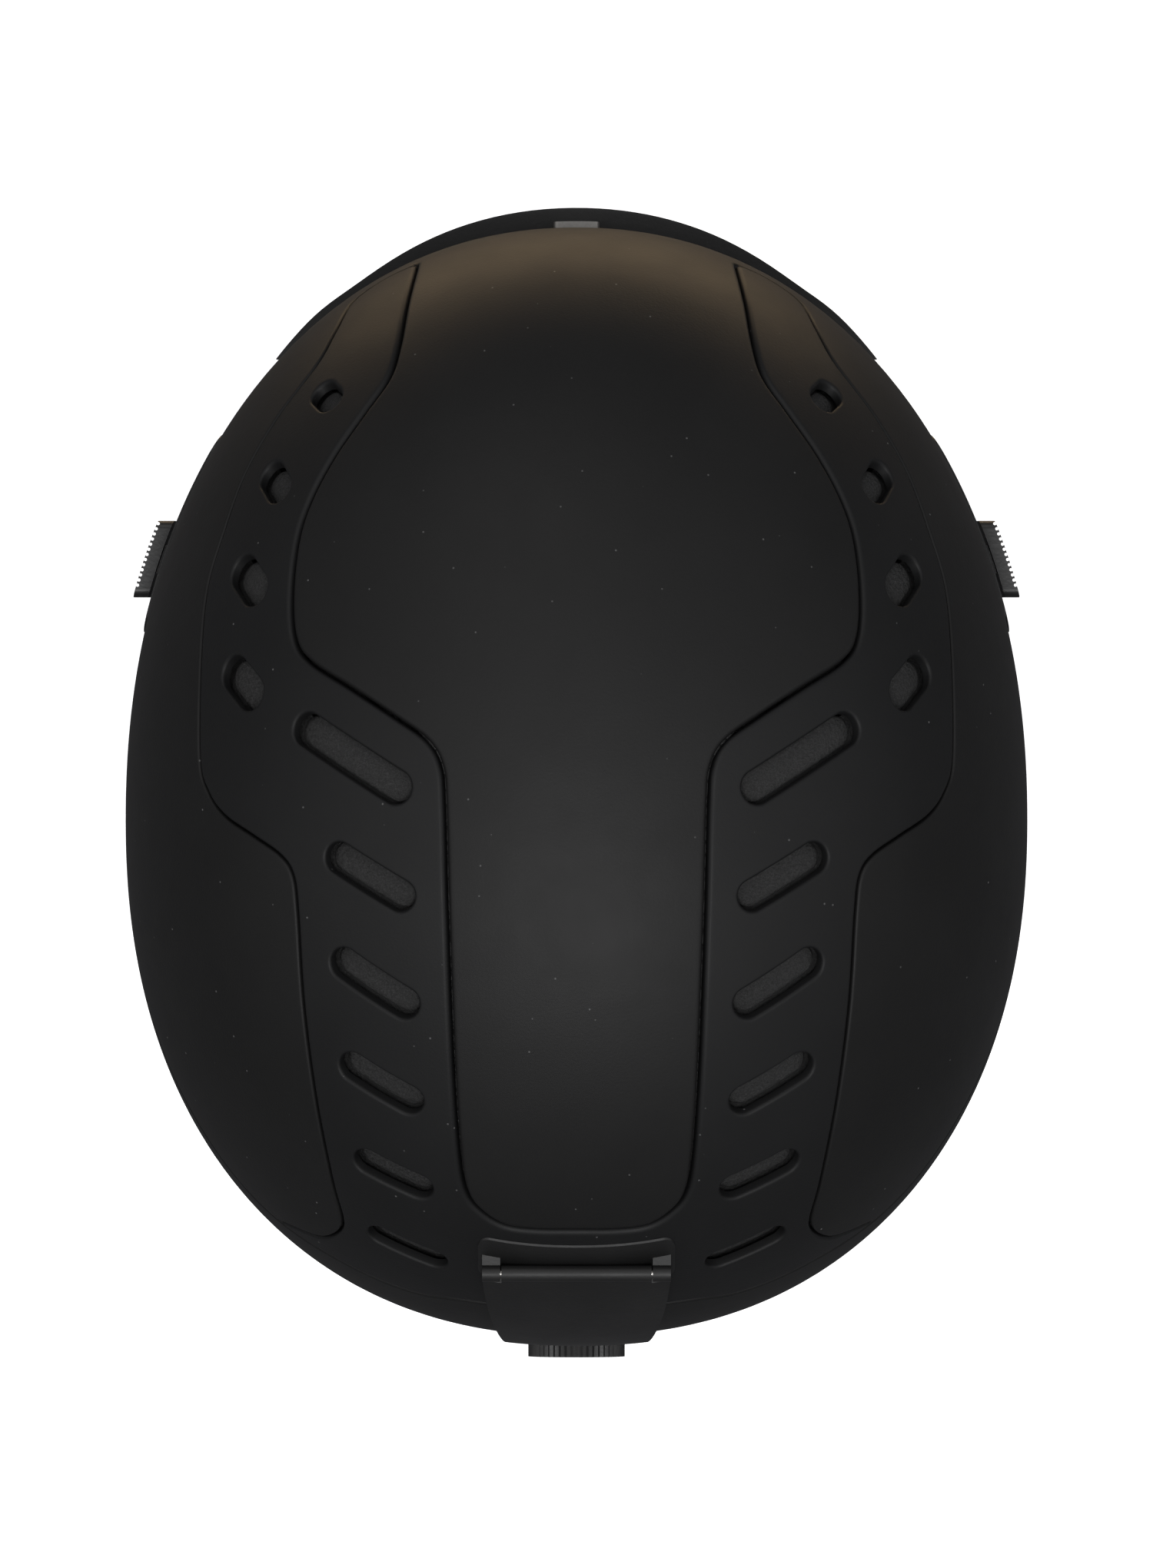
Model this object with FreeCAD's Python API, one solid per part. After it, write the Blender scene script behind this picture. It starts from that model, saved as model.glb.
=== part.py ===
import FreeCAD, Part

import math
import os

from FreeCAD import Rotation, Vector

# A vented ski helmet, held on a head. All sizes are in millimetres.
# +Z is up, -Y is the front and +X is the wearer's left. The origin is inside the head
# cavity, on the vertical head axis, at the level where the shell is widest.
# Plan outlines are (lateral, fore) pairs: lateral is +X and fore is -Y.

# ---------------------------------------------------------------- driving dimensions

HALF_WIDTH = 111.0
FRONT_LENGTH = 145.5
REAR_LENGTH = 127.4
CROWN_HEIGHT = 110.0
UNDER_HEIGHT = 130.0

# the shell is a superellipsoid: these are its powers in plan and in height
FRONT_PLAN_POWER = 2.12
REAR_PLAN_POWER = 2.22
CROWN_POWER = 2.15
UNDER_POWER = 2.0

# insets are measured from the outside of the shell
SHELL_THICKNESS = 2.4
FOAM_OUTSIDE = 2.7
FOAM_INSIDE = 25.0
PAD_OUTSIDE = 25.3
PAD_INSIDE = 31.0
TRIM_OUTSIDE = -0.6
TRIM_INSIDE = 24.0
TRIM_HEIGHT = 3.2

VISOR_OUTSIDE = -14.0

SEAM_GAP = 0.5
BODY_GAP = 0.4
FAR = 220.0
LOWER_SHELL_FORE = 113.0

# edge of the crown tongue, from the front tip to the middle of the back
CROWN_EDGE = [
    (39.2, 136.2), (41.5, 126.3), (43.4, 115.4), (45.8, 107.6), (51.5, 99.4),
    (58.7, 89.1), (64.4, 78.6), (67.8, 68.5), (69.3, 55.0), (68.6, 44.2),
    (65.0, 38.4), (55.0, 31.9), (44.2, 24.8), (36.4, 19.2), (32.9, 13.1),
    (32.0, 4.0), (31.3, -22.3), (29.9, -60.0), (28.4, -82.5), (26.7, -91.2),
    (23.2, -95.8), (17.6, -99.2), (10.0, -100.3), (0.0, -100.4),
]

# edge of the side wing, from the front tip to behind the wing's rear corner
WING_EDGE = [
    (39.2, 136.2), (46.9, 132.6), (55.0, 126.7), (59.0, 119.5), (63.4, 111.3),
    (73.1, 98.2), (80.9, 84.5), (86.2, 70.0), (90.2, 56.0), (91.7, 38.0),
    (91.9, 15.0), (89.9, 6.7), (85.8, 0.8), (78.6, -4.2), (72.2, -8.7),
    (69.1, -13.2), (67.9, -21.4), (66.4, -45.0), (63.5, -68.0), (59.7, -88.0),
    (57.3, -97.4), (57.9, -100.7), (60.9, -102.4), (64.7, -101.9), (73.5, -98.4),
]

# seam under the upper shell and the vent panel, as (fore, height)
LOWER_SEAM = [
    (-140.0, 46.0), (-120.0, 41.2), (-116.0, 34.6), (-107.8, 30.3), (-98.6, 23.8),
    (-90.0, 20.6), (-73.0, 17.5), (-20.0, 5.0), (30.0, -2.0), (75.0, -4.5),
    (100.0, -8.5), (114.0, -13.0), (130.0, -13.5), (155.0, -12.0),
]

# bottom edge of the foam and of the lower shell, as (fore, height)
RIM = [
    (-140.0, -60.0), (-112.0, -57.0), (-90.0, -47.5), (-70.0, -38.5), (-48.0, -33.0),
    (-15.0, -32.0), (18.0, -32.0), (40.0, -35.0), (58.0, -40.5), (75.0, -40.5),
    (95.0, -32.0), (112.0, -25.0), (130.0, -21.0), (155.0, -19.5),
]

# vents of one side, front to back: two end centres in plan, width and window width
VENTS = [
    ((61.8, 104.0), (60.2, 102.4), 7.2, 5.0),
    ((74.4, 83.9), (72.6, 80.7), 7.8, 5.0),
    ((81.2, 60.3), (78.6, 56.3), 9.0, 5.6),
    ((83.3, 35.5), (79.6, 30.9), 9.0, 6.0),
    ((65.3, 21.8), (44.0, 7.8), 8.4, 7.4),
    ((57.6, -9.5), (42.9, -18.6), 7.8, 7.0),
    ((56.3, -35.2), (41.9, -44.7), 7.9, 7.0),
    ((54.2, -60.4), (40.9, -68.3), 7.7, 7.0),
    ((50.8, -83.7), (38.6, -89.6), 7.6, 6.8),
    ((47.7, -102.0), (35.0, -107.6), 7.2, 6.4),
]
FRONT_VENTS = VENTS[:4]
REAR_VENTS = VENTS[4:]
AIR_HOLES = VENTS[2:8]
AIR_HOLE_SHRINK = 2.0

# vent shutters slide round axes that run across the helmet, at (y, z)
SHUTTER_TRAVEL = 8.5
SHUTTER_OUTSIDE = 3.9
SHUTTER_INSIDE = 5.3
CHANNEL_INSIDE = 6.6
CHANNEL_ROOM = 2.0
CORNER_ROOM = 4.0
FRONT_SHUTTER_AXIS = (-17.4, -18.3)
FRONT_SHUTTER_RADIUS = 99.3
REAR_SHUTTER_AXIS = (4.4, -16.7)
REAR_SHUTTER_RADIUS = 115.3
FRONT_SHUTTER = [
    (53.5, 109.5), (60.5, 114.5), (68.0, 106.5), (76.0, 93.0), (83.0, 78.5),
    (88.5, 57.0), (90.0, 34.0), (84.0, 23.5), (77.0, 28.0), (74.0, 40.0),
    (73.0, 55.0), (68.5, 74.0), (61.5, 92.0),
]
REAR_SHUTTER = [
    (71.5, 35.5), (71.0, 22.0), (66.5, 4.0), (64.5, -30.0), (61.0, -60.0),
    (56.5, -84.0), (52.0, -101.0), (31.5, -110.0), (34.0, -88.0), (36.5, -65.0),
    (38.0, -40.0), (36.5, 2.0), (37.0, 16.0), (50.0, 28.5), (63.0, 38.0),
]

# vent slider at the temple
KNOB_LENGTH = 18.9
KNOB_HEIGHT = 9.0
KNOB_FORE = 64.0
KNOB_LEVEL = -15.2
KNOB_OUTSIDE = -5.4
KNOB_INSIDE = -1.8
KNOB_RIDGES = 13
TRACK_FORE = (46.0, 94.6)
TRACK_HEIGHT = 12.4
TRACK_OUTSIDE = -1.0
STEM_LENGTH = 7.0
STEM_HEIGHT = 3.4
STEM_INSIDE = 3.6

# goggle clip at the back
CLIP_AXIS_Y = 110.8
CLIP_AXIS_Z = 63.0
CLIP_BARREL = 2.0
CLIP_PIN = 0.9
CLIP_OUTSIDE = -2.4
CLIP_INSIDE = -0.9
CLIP_OUTLINE = [(23.2, 61.0), (21.3, 41.0), (19.0, 22.0), (17.4, 4.0), (16.6, -7.0)]
CLIP_BOTTOM = -12.0
CLIP_LUG = 18.6
CLIP_LUG_FOOT = 58.4

# fit dial, its shaft and the two racks
DIAL_LEVEL = -41.0
DIAL_RADIUS = 12.0
DIAL_BACK = 133.4
DIAL_THICKNESS = 4.2
DIAL_RIDGES = 48
HUB_RADIUS = 8.5
HUB_FRONT = 127.4
SHAFT_RADIUS = 3.0
RUNNING_GAP = 0.06
TOOTH_MODULE = 1.0
PINION_TEETH = 10
PINION_PITCH = TOOTH_MODULE * PINION_TEETH / 2
BAND_START = 26.9
BAND_OUTSIDE = 26.0
BAND_INSIDE = 27.4
RACK_NEAR = 91.2
RACK_FAR = 94.2
HOUSING_HALF = 20.0
HOUSING_FRONT = 88.5
HOUSING_BACK = 126.9

# webbing and its joint below the ear
WEB_WIDTH = 15.0
WEB_THICKNESS = 1.6
WEB_PLANE = 94.3
PIVOT_FORE = -4.0
PIVOT_LEVEL = -104.0
PIVOT_RADIUS = 2.0
FRONT_ANCHOR = (46.0, -27.0)
REAR_ANCHOR = (-48.0, -23.0)
CHIN_LEVEL = -184.0
CHIN_BEND_LEVEL = -124.0
CHIN_CORNER = 57.0
CHIN_BENDS = (40.0, 24.0)
BUCKLE_X = (-2.0, 40.0)
KEEPER_SHARE = 0.42


# ---------------------------------------------------------------- shape helpers


def shell_radius(x, y, z, inset):
    """Distance from the origin to the surface at this inset, along a unit direction."""
    front = y < 0
    length = (FRONT_LENGTH if front else REAR_LENGTH) - inset
    plan_power = FRONT_PLAN_POWER if front else REAR_PLAN_POWER
    height = (CROWN_HEIGHT if z > 0 else UNDER_HEIGHT) - inset
    height_power = CROWN_POWER if z > 0 else UNDER_POWER
    plan = (abs(x) / (HALF_WIDTH - inset)) ** plan_power + (abs(y) / length) ** plan_power
    total = plan ** (height_power / plan_power) + (abs(z) / height) ** height_power
    return total ** (-1 / height_power)


def surface_height(lateral, fore, inset=0.0):
    """Height of the upper surface above a place in plan."""
    length = (FRONT_LENGTH if fore > 0 else REAR_LENGTH) - inset
    power = FRONT_PLAN_POWER if fore > 0 else REAR_PLAN_POWER
    plan = (abs(lateral) / (HALF_WIDTH - inset)) ** power + (abs(fore) / length) ** power
    reach = plan ** (CROWN_POWER / power)
    return (CROWN_HEIGHT - inset) * (1 - reach) ** (1 / CROWN_POWER)


def surface_point(lateral, fore, inset=0.0):
    return Vector(lateral, -fore, surface_height(lateral, fore, inset))


def side_point(fore, level, inset=0.0):
    """Point on the left side of the surface at this fore-and-aft place and level."""
    length = (FRONT_LENGTH if fore > 0 else REAR_LENGTH) - inset
    power = FRONT_PLAN_POWER if fore > 0 else REAR_PLAN_POWER
    height = (CROWN_HEIGHT if level > 0 else UNDER_HEIGHT) - inset
    height_power = CROWN_POWER if level > 0 else UNDER_POWER
    reach = (1 - (abs(level) / height) ** height_power) ** (1 / height_power)
    lateral = (reach**power - (abs(fore) / length) ** power) ** (1 / power)
    return Vector(lateral * (HALF_WIDTH - inset), -fore, level)


def outward(point):
    """Unit normal of the surface at a point on it."""
    step = 0.05
    slopes = []
    for axis in (Vector(step, 0, 0), Vector(0, step, 0), Vector(0, 0, step)):
        ahead = point + axis
        behind = point - axis
        rise = off_surface(ahead) - off_surface(behind)
        slopes.append(rise)
    return Vector(*slopes).normalize()


def off_surface(point):
    length = point.Length
    return length - shell_radius(point.x / length, point.y / length, point.z / length, 0.0)


def cap_point(s, t, inset):
    """Point of the cap surface for s and t from -1 to 1: straight up is the middle."""
    edge_angle = math.radians(122)
    corner_ease = 0.35
    a = s * math.sqrt(1 - corner_ease * t * t)
    b = t * math.sqrt(1 - corner_ease * s * s)
    away = math.hypot(a, b)
    if away < 1e-9:
        return Vector(0, 0, CROWN_HEIGHT - inset)
    angle = away * edge_angle
    x = math.sin(angle) * a / away
    y = math.sin(angle) * b / away
    z = math.cos(angle)
    return Vector(x, y, z) * shell_radius(x, y, z, inset)


def cap_surface(inset):
    count = 25
    steps = [-1 + 2 * i / (count - 1) for i in range(count)]
    surface = Part.BSplineSurface()
    surface.interpolate([[cap_point(s, t, inset) for t in steps] for s in steps])
    return surface


def layer(outer_inset, inner_inset):
    """Closed solid between two insets of the shell surface, over the whole cap."""
    outer = cap_surface(outer_inset)
    inner = cap_surface(inner_inset)
    low_u, high_u, low_v, high_v = outer.bounds()
    faces = [outer.toShape(), inner.toShape()]
    for u in (low_u, high_u):
        faces.append(Part.makeRuledSurface(outer.uIso(u).toShape(), inner.uIso(u).toShape()))
    for v in (low_v, high_v):
        faces.append(Part.makeRuledSurface(outer.vIso(v).toShape(), inner.vIso(v).toShape()))
    skin = Part.Compound(faces)
    skin.sewShape(1e-4)
    solid = Part.makeSolid(skin.Shells[0])
    if solid.Volume < 0:
        solid.reverse()
    return solid


def curve(points):
    """Edge through points: a line through two, a smooth curve through more."""
    if len(points) == 2:
        return Part.makeLine(points[0], points[1])
    spline = Part.BSplineCurve()
    spline.interpolate(points)
    return spline.toShape()


def face_of(runs):
    """Flat face bounded by runs of points, each starting where the last one ended."""
    return Part.Face(Part.Wire([curve(run) for run in runs]))


def shifted(points, distance):
    """A 2-D line moved sideways, to the left of its direction."""
    moved = []
    for i, (a, b) in enumerate(points):
        before = points[max(i - 1, 0)]
        after = points[min(i + 1, len(points) - 1)]
        run = math.hypot(after[0] - before[0], after[1] - before[1])
        along = ((after[0] - before[0]) / run, (after[1] - before[1]) / run)
        moved.append((a - along[1] * distance, b + along[0] * distance))
    return moved


def plan(points):
    return [Vector(lateral, -fore, -FAR) for lateral, fore in points]


def side(points):
    return [Vector(-FAR, -fore, level) for fore, level in points]


def plan_prism(runs):
    return face_of(runs).extrude(Vector(0, 0, 2 * FAR))


def side_region(lower, upper):
    """Everything between two lines drawn in side view."""
    start = [lower[0], upper[0]]
    end = [upper[-1], lower[-1]]
    runs = [side(lower), side(end[::-1]), side(upper[::-1]), side(start[::-1])]
    return face_of(runs).extrude(Vector(2 * FAR, 0, 0))


def smooth_plan_prism(points):
    """Prism of a smooth closed outline in plan, above the origin's level only."""
    spline = Part.BSplineCurve()
    spline.interpolate([Vector(a, -b, 0) for a, b in points], PeriodicFlag=True)
    return Part.Face(Part.Wire([spline.toShape()])).extrude(Vector(0, 0, FAR))


def box(low, high):
    size = [b - a for a, b in zip(low, high)]
    return Part.makeBox(*size, Vector(*low))


def rounded(shape, radius, direction):
    """Fillet the straight edges of a box that run along a direction."""
    edges = []
    for edge in shape.Edges:
        along = edge.tangentAt(edge.FirstParameter)
        if abs(along.dot(direction)) > 0.99:
            edges.append(edge)
    return shape.makeFillet(radius, edges)


def cylinder(start, direction, radius, length):
    return Part.makeCylinder(radius, length, start, direction)


def mirrored(shape):
    return shape.mirror(Vector(0, 0, 0), Vector(1, 0, 0))


def both_sides(shape):
    return [shape, mirrored(shape)]


def joined(shapes):
    return shapes[0].fuse(shapes[1:]).removeSplitter()


def straight(line, height):
    """A level line as long as another line."""
    return [(line[0][0], height), (line[-1][0], height)]


def slot(first, second, width, outside, depth):
    """Round-ended slot cutter through the shell, square to it at the slot's middle."""
    start = surface_point(*first)
    end = surface_point(*second)
    middle = (start + end) * 0.5
    normal = outward(middle)
    along = end - start
    along = along - normal * along.dot(normal)
    reach = along.Length / 2
    along.normalize()
    across = normal.cross(along)
    half = width / 2
    top = middle + normal * outside
    a = top - along * reach
    b = top + along * reach
    edges = [
        Part.makeLine(a + across * half, b + across * half),
        Part.Arc(b + across * half, b + along * half, b - across * half).toShape(),
        Part.makeLine(b - across * half, a - across * half),
        Part.Arc(a - across * half, a - along * half, a + across * half).toShape(),
    ]
    return Part.Face(Part.Wire(edges)).extrude(normal * -(outside + depth))


# ---------------------------------------------------------------- regions

ABOVE_SEAM = side_region(shifted(LOWER_SEAM, SEAM_GAP / 2), straight(LOWER_SEAM, FAR))
BELOW_SEAM = side_region(straight(LOWER_SEAM, -FAR), shifted(LOWER_SEAM, -SEAM_GAP / 2))
ABOVE_RIM = side_region(RIM, straight(RIM, FAR))
TRIM_BAND = side_region(shifted(RIM, -TRIM_HEIGHT), RIM)


def vent_region(grow):
    """Plan prism of the vent panel, with its edges moved outwards by grow."""
    inner = shifted(CROWN_EDGE, -grow)
    outer = shifted(WING_EDGE, grow)
    tip = (39.2 - grow * 0.3, 136.2 + grow * 2)
    inner = [tip] + inner[1:]
    outer = [tip] + outer[1:]
    inner[-1] = (0.0, CROWN_EDGE[-1][1] + grow)
    back = -160.0
    wide = 110.0
    other_inner = [(-a, b) for a, b in inner[::-1]]
    other_outer = [(-a, b) for a, b in outer]
    runs = [
        plan(inner[::-1]),
        plan(outer),
        plan([outer[-1], (wide, outer[-1][1] + grow)]),
        plan([(wide, outer[-1][1] + grow), (wide, back)]),
        plan([(wide, back), (-wide, back)]),
        plan([(-wide, back), (-wide, outer[-1][1] + grow)]),
        plan([(-wide, outer[-1][1] + grow), other_outer[-1]]),
        plan(other_outer[::-1]),
        plan(other_inner[::-1]),
    ]
    return plan_prism(runs)


# ---------------------------------------------------------------- shells


def dial_notch(half_width, top):
    """Cutter that opens the back of the rim round the fit dial."""
    notch = box((-half_width, 60, -FAR), (half_width, FAR, top))
    upper = [e for e in notch.Edges if abs(e.BoundBox.ZMin - top) < 0.01]
    across = [e for e in upper if e.BoundBox.YLength > 1]
    return notch.makeFillet(half_width * 0.55, across)


def make_upper_shell():
    body = layer(0, SHELL_THICKNESS).common(ABOVE_SEAM)
    return body.cut(vent_region(SEAM_GAP / 2))


def make_vent_shell():
    body = layer(0, SHELL_THICKNESS).common(ABOVE_SEAM).common(vent_region(-SEAM_GAP / 2))
    cutters = []
    for first, second, width, _ in VENTS:
        cutters += both_sides(slot(first, second, width, 6, 9))
    return body.cut(cutters)


def slider_pocket(grow, outside, inside):
    """Curved rounded plate at the left temple, used for the track and its pocket."""
    half = TRACK_HEIGHT / 2 + grow
    plate = box(
        (60, -TRACK_FORE[1] - grow, KNOB_LEVEL - half),
        (130, -TRACK_FORE[0] + grow, KNOB_LEVEL + half),
    )
    plate = rounded(plate, half * 0.8, Vector(1, 0, 0))
    return layer(outside, inside).common(plate)


def make_lower_shell():
    body = layer(0, SHELL_THICKNESS).common(BELOW_SEAM).common(ABOVE_RIM)
    body = body.cut(box((-FAR, -FAR, -FAR), (FAR, -LOWER_SHELL_FORE, FAR)))
    cutters = [dial_notch(18.5, -24.0)]
    cutters += both_sides(slider_pocket(0.2, -5, SHELL_THICKNESS + 1))
    return body.cut(cutters)


def make_front_visor():
    lip = [
        (-75.6, 111.5), (-69.4, 119.2), (-62.6, 125.9), (-55.6, 131.0), (-49.5, 135.3),
        (-42.0, 140.0), (-32.0, 144.8), (-15.0, 149.5), (0.0, 150.7), (15.0, 149.5),
        (32.0, 144.8), (42.0, 140.0), (49.5, 135.3), (55.6, 131.0), (62.6, 125.9),
        (69.4, 119.2), (75.6, 111.5),
    ]
    left = lip[-1]
    right = lip[0]
    region = plan_prism(
        [plan(lip), plan([left, (left[0], 60.0)]), plan([(left[0], 60.0), (right[0], 60.0)]),
         plan([(right[0], 60.0), right])]
    )
    between = side_region(shifted(RIM, 0.1), shifted(LOWER_SEAM, -SEAM_GAP))
    ring = layer(VISOR_OUTSIDE, SHELL_THICKNESS - 0.2).common(region).common(between)
    return ring.cut(box((-FAR, -LOWER_SHELL_FORE - BODY_GAP, -FAR), (FAR, FAR, FAR)))


def make_front_badge():
    plate = box((-5.75, -160, -10.2), (5.75, -130, -3.2))
    plate = rounded(plate, 1.4, Vector(0, 1, 0))
    return layer(-1.7, 0).common(plate)


def make_edge_trim():
    ring = layer(TRIM_OUTSIDE, TRIM_INSIDE).common(TRIM_BAND)
    cutters = [dial_notch(31.5, -20.0)]
    for strap_pocket in strap_pockets():
        cutters += both_sides(strap_pocket)
    return ring.cut(cutters)


def make_eps_liner():
    body = layer(FOAM_OUTSIDE, FOAM_INSIDE).common(ABOVE_RIM)
    for channel in shutter_channels():
        for cutter in both_sides(channel):
            body = body.cut(cutter)
    cutters = [dial_notch(31.5, -20.0)]
    for strap_pocket in strap_pockets():
        cutters += both_sides(strap_pocket)
    for fore, level in (FRONT_ANCHOR, REAR_ANCHOR):
        hole = cylinder(Vector(90.6, -fore, level), Vector(1, 0, 0), 3.2, 6.4)
        cutters += both_sides(hole)
    for first, second, width, _ in AIR_HOLES:
        cutters += both_sides(slot(first, second, width - AIR_HOLE_SHRINK, 4, 40))
    stem_room = box((60, -76, KNOB_LEVEL - 3.2), (130, -44, KNOB_LEVEL + 3.2))
    cutters += both_sides(layer(FOAM_OUTSIDE - 1, STEM_INSIDE + 1.2).common(stem_room))
    return body.cut(cutters)


# ---------------------------------------------------------------- vent shutters


def swung(shape, axis, degrees):
    """Copy of a shape turned rearwards over the crown about a shutter axis."""
    turned = shape.copy()
    turned.rotate(Vector(0, axis[0], axis[1]), Vector(-1, 0, 0), degrees)
    return turned


def shutter_channels():
    """Room in the foam for both shutters and their travel, on the left.

    The front shutter's inner edge slants, so from the point numbered narrowing on it
    clears the foam only where the whole edge has moved back.
    """
    sheet = layer(FOAM_OUTSIDE - 1.5, CHANNEL_INSIDE)
    channels = []
    for outline, axis, radius, rear_end, narrowing in (
        (FRONT_SHUTTER, FRONT_SHUTTER_AXIS, FRONT_SHUTTER_RADIUS, 45.0, 10),
        (REAR_SHUTTER, REAR_SHUTTER_AXIS, REAR_SHUTTER_RADIUS, -80.0, len(REAR_SHUTTER)),
    ):
        travel = math.degrees(SHUTTER_TRAVEL / radius)
        reach = [
            moved_back(place, travel, axis) if place[1] < rear_end or i >= narrowing else place
            for i, place in enumerate(outline)
        ]
        if narrowing < len(outline):
            lateral, fore = moved_back(outline[0], travel, axis)
            reach.append((lateral - CORNER_ROOM, fore - CORNER_ROOM / 2))
        channels.append(sheet.common(smooth_plan_prism(grown(reach, CHANNEL_ROOM))))
    return channels


def moved_back(place, degrees, axis):
    """Place in plan of a point of a shutter after the shutter has slid rearwards."""
    centre = Vector(0, axis[0], axis[1])
    arm = surface_point(*place, SHUTTER_INSIDE) - centre
    point = Rotation(Vector(-1, 0, 0), degrees).multVec(arm) + centre
    return (point.x, -point.y)


def grown(outline, distance):
    """Closed outline moved outwards from its middle line by a distance."""
    wrapped = [outline[-1]] + outline + [outline[0]]
    area = sum(a[0] * b[1] - b[0] * a[1] for a, b in zip(wrapped, wrapped[1:]))
    sign = -1 if area > 0 else 1
    return shifted(wrapped, sign * distance)[1:-1]


def make_shutter(outline, vents, axis, radius):
    plate = layer(SHUTTER_OUTSIDE, SHUTTER_INSIDE).common(smooth_plan_prism(outline))
    travel = math.degrees(SHUTTER_TRAVEL / radius)
    windows = []
    for first, second, _, window in vents:
        windows.append(swung(slot(first, second, window, 4, 12), axis, -travel))
    return plate.cut(windows)


def make_front_shutter():
    return make_shutter(FRONT_SHUTTER, FRONT_VENTS, FRONT_SHUTTER_AXIS, FRONT_SHUTTER_RADIUS)


def make_rear_shutter():
    return make_shutter(REAR_SHUTTER, REAR_VENTS, REAR_SHUTTER_AXIS, REAR_SHUTTER_RADIUS)


def slide_direction():
    """Direction in which the left slider knob moves back along the wall."""
    start = side_point(KNOB_FORE, KNOB_LEVEL)
    end = side_point(KNOB_FORE - SHUTTER_TRAVEL, KNOB_LEVEL)
    return (end - start).normalize()


def make_slider_track():
    plate = slider_pocket(0.0, TRACK_OUTSIDE, SHELL_THICKNESS)
    half = STEM_LENGTH / 2 + 0.5
    window = box(
        (60, -KNOB_FORE - half, KNOB_LEVEL - STEM_HEIGHT / 2 - 0.4),
        (130, -KNOB_FORE + half + SHUTTER_TRAVEL, KNOB_LEVEL + STEM_HEIGHT / 2 + 0.4),
    )
    return plate.cut(window)


def make_vent_slider():
    half = KNOB_LENGTH / 2
    grip_box = box(
        (60, -KNOB_FORE - half, KNOB_LEVEL - KNOB_HEIGHT / 2),
        (130, -KNOB_FORE + half, KNOB_LEVEL + KNOB_HEIGHT / 2),
    )
    grip_box = rounded(grip_box, 2.0, Vector(1, 0, 0))
    grip = layer(KNOB_OUTSIDE, KNOB_INSIDE).common(grip_box)
    grooves = []
    pitch = (KNOB_LENGTH - 3.0) / KNOB_RIDGES
    for i in range(KNOB_RIDGES + 1):
        fore = KNOB_FORE + (i - KNOB_RIDGES / 2) * pitch
        place = side_point(fore, KNOB_LEVEL)
        place = place + outward(place) * (-KNOB_OUTSIDE + 0.15)
        place.z = KNOB_LEVEL - KNOB_HEIGHT
        grooves.append(cylinder(place, Vector(0, 0, 1), 0.4, 2 * KNOB_HEIGHT))
    grip = grip.cut(grooves)
    stem_box = box(
        (60, -KNOB_FORE - STEM_LENGTH / 2, KNOB_LEVEL - STEM_HEIGHT / 2),
        (130, -KNOB_FORE + STEM_LENGTH / 2, KNOB_LEVEL + STEM_HEIGHT / 2),
    )
    stem = layer(KNOB_INSIDE - 0.5, STEM_INSIDE).common(stem_box)
    return joined([grip, stem])


# ---------------------------------------------------------------- goggle clip


def clip_region():
    left = [Vector(a, 60, z) for a, z in CLIP_OUTLINE]
    right = [Vector(-p.x, p.y, p.z) for p in left]
    corner = 5.0
    low_left = Vector(CLIP_OUTLINE[-1][0] - corner, 60, CLIP_BOTTOM)
    low_right = Vector(-low_left.x, 60, CLIP_BOTTOM)
    bend_left = Vector(CLIP_OUTLINE[-1][0] - 1.4, 60, CLIP_BOTTOM + 1.4)
    bend_right = Vector(-bend_left.x, 60, CLIP_BOTTOM + 1.4)
    edges = [
        curve(left),
        Part.Arc(left[-1], bend_left, low_left).toShape(),
        curve([low_left, low_right]),
        Part.Arc(low_right, bend_right, right[-1]).toShape(),
        curve(right[::-1]),
        curve([right[0], left[0]]),
    ]
    return Part.Face(Part.Wire(edges)).extrude(Vector(0, 100, 0))


def across_at_clip(start, end, radius):
    """Cylinder on the clip's hinge axis from one lateral place to another."""
    place = Vector(start, CLIP_AXIS_Y, CLIP_AXIS_Z)
    return cylinder(place, Vector(1, 0, 0), radius, end - start)


def make_goggle_clip():
    flap = layer(CLIP_OUTSIDE, CLIP_INSIDE).common(clip_region())
    barrel_half = CLIP_LUG - 0.3
    lug_room = box((barrel_half, 90, CLIP_LUG_FOOT - 0.8), (40, 130, 90))
    corner_relief = both_sides(lug_room)
    barrel = across_at_clip(-barrel_half, barrel_half, CLIP_BARREL)
    bridge = box((-barrel_half, 109.4, 59.0), (barrel_half, 113.2, 62.0))
    bridge = bridge.common(layer(CLIP_OUTSIDE - 0.4, CLIP_INSIDE))
    body = joined([flap.cut(corner_relief), barrel, bridge])
    bore = across_at_clip(-30, 30, CLIP_PIN + RUNNING_GAP)
    recess = box((-10.5, 100, -9.5), (10.5, 160, -1.5))
    recess = rounded(recess, 2.0, Vector(0, 1, 0))
    recess = layer(CLIP_OUTSIDE - 2, CLIP_OUTSIDE + 0.5).common(recess)
    return body.cut([bore, recess])


def make_goggle_clip_base():
    saddle_box = box((-24.0, 90, 55.0), (24.0, 130, 68.0))
    saddle_box = rounded(saddle_box, 3.0, Vector(0, 1, 0))
    saddle = layer(-0.4, 0).common(saddle_box)
    lugs = []
    for sign in (-1, 1):
        start = sign * (CLIP_LUG + 2.2) - 2.2
        ring = across_at_clip(start, start + 4.4, CLIP_BARREL)
        foot = box((start, 102, CLIP_LUG_FOOT), (start + 4.4, 112.2, CLIP_AXIS_Z))
        foot = foot.common(layer(-3.4, 0))
        lugs += [ring, foot]
    bore = across_at_clip(-30, 30, CLIP_PIN + 0.01)
    clear = across_at_clip(-CLIP_LUG, CLIP_LUG, CLIP_BARREL + 0.25)
    return joined([saddle.cut(clear)] + lugs).cut(bore)


def make_clip_hinge_pin():
    return across_at_clip(-CLIP_LUG - 4.4, CLIP_LUG + 4.4, CLIP_PIN)


# ---------------------------------------------------------------- fit system


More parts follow.
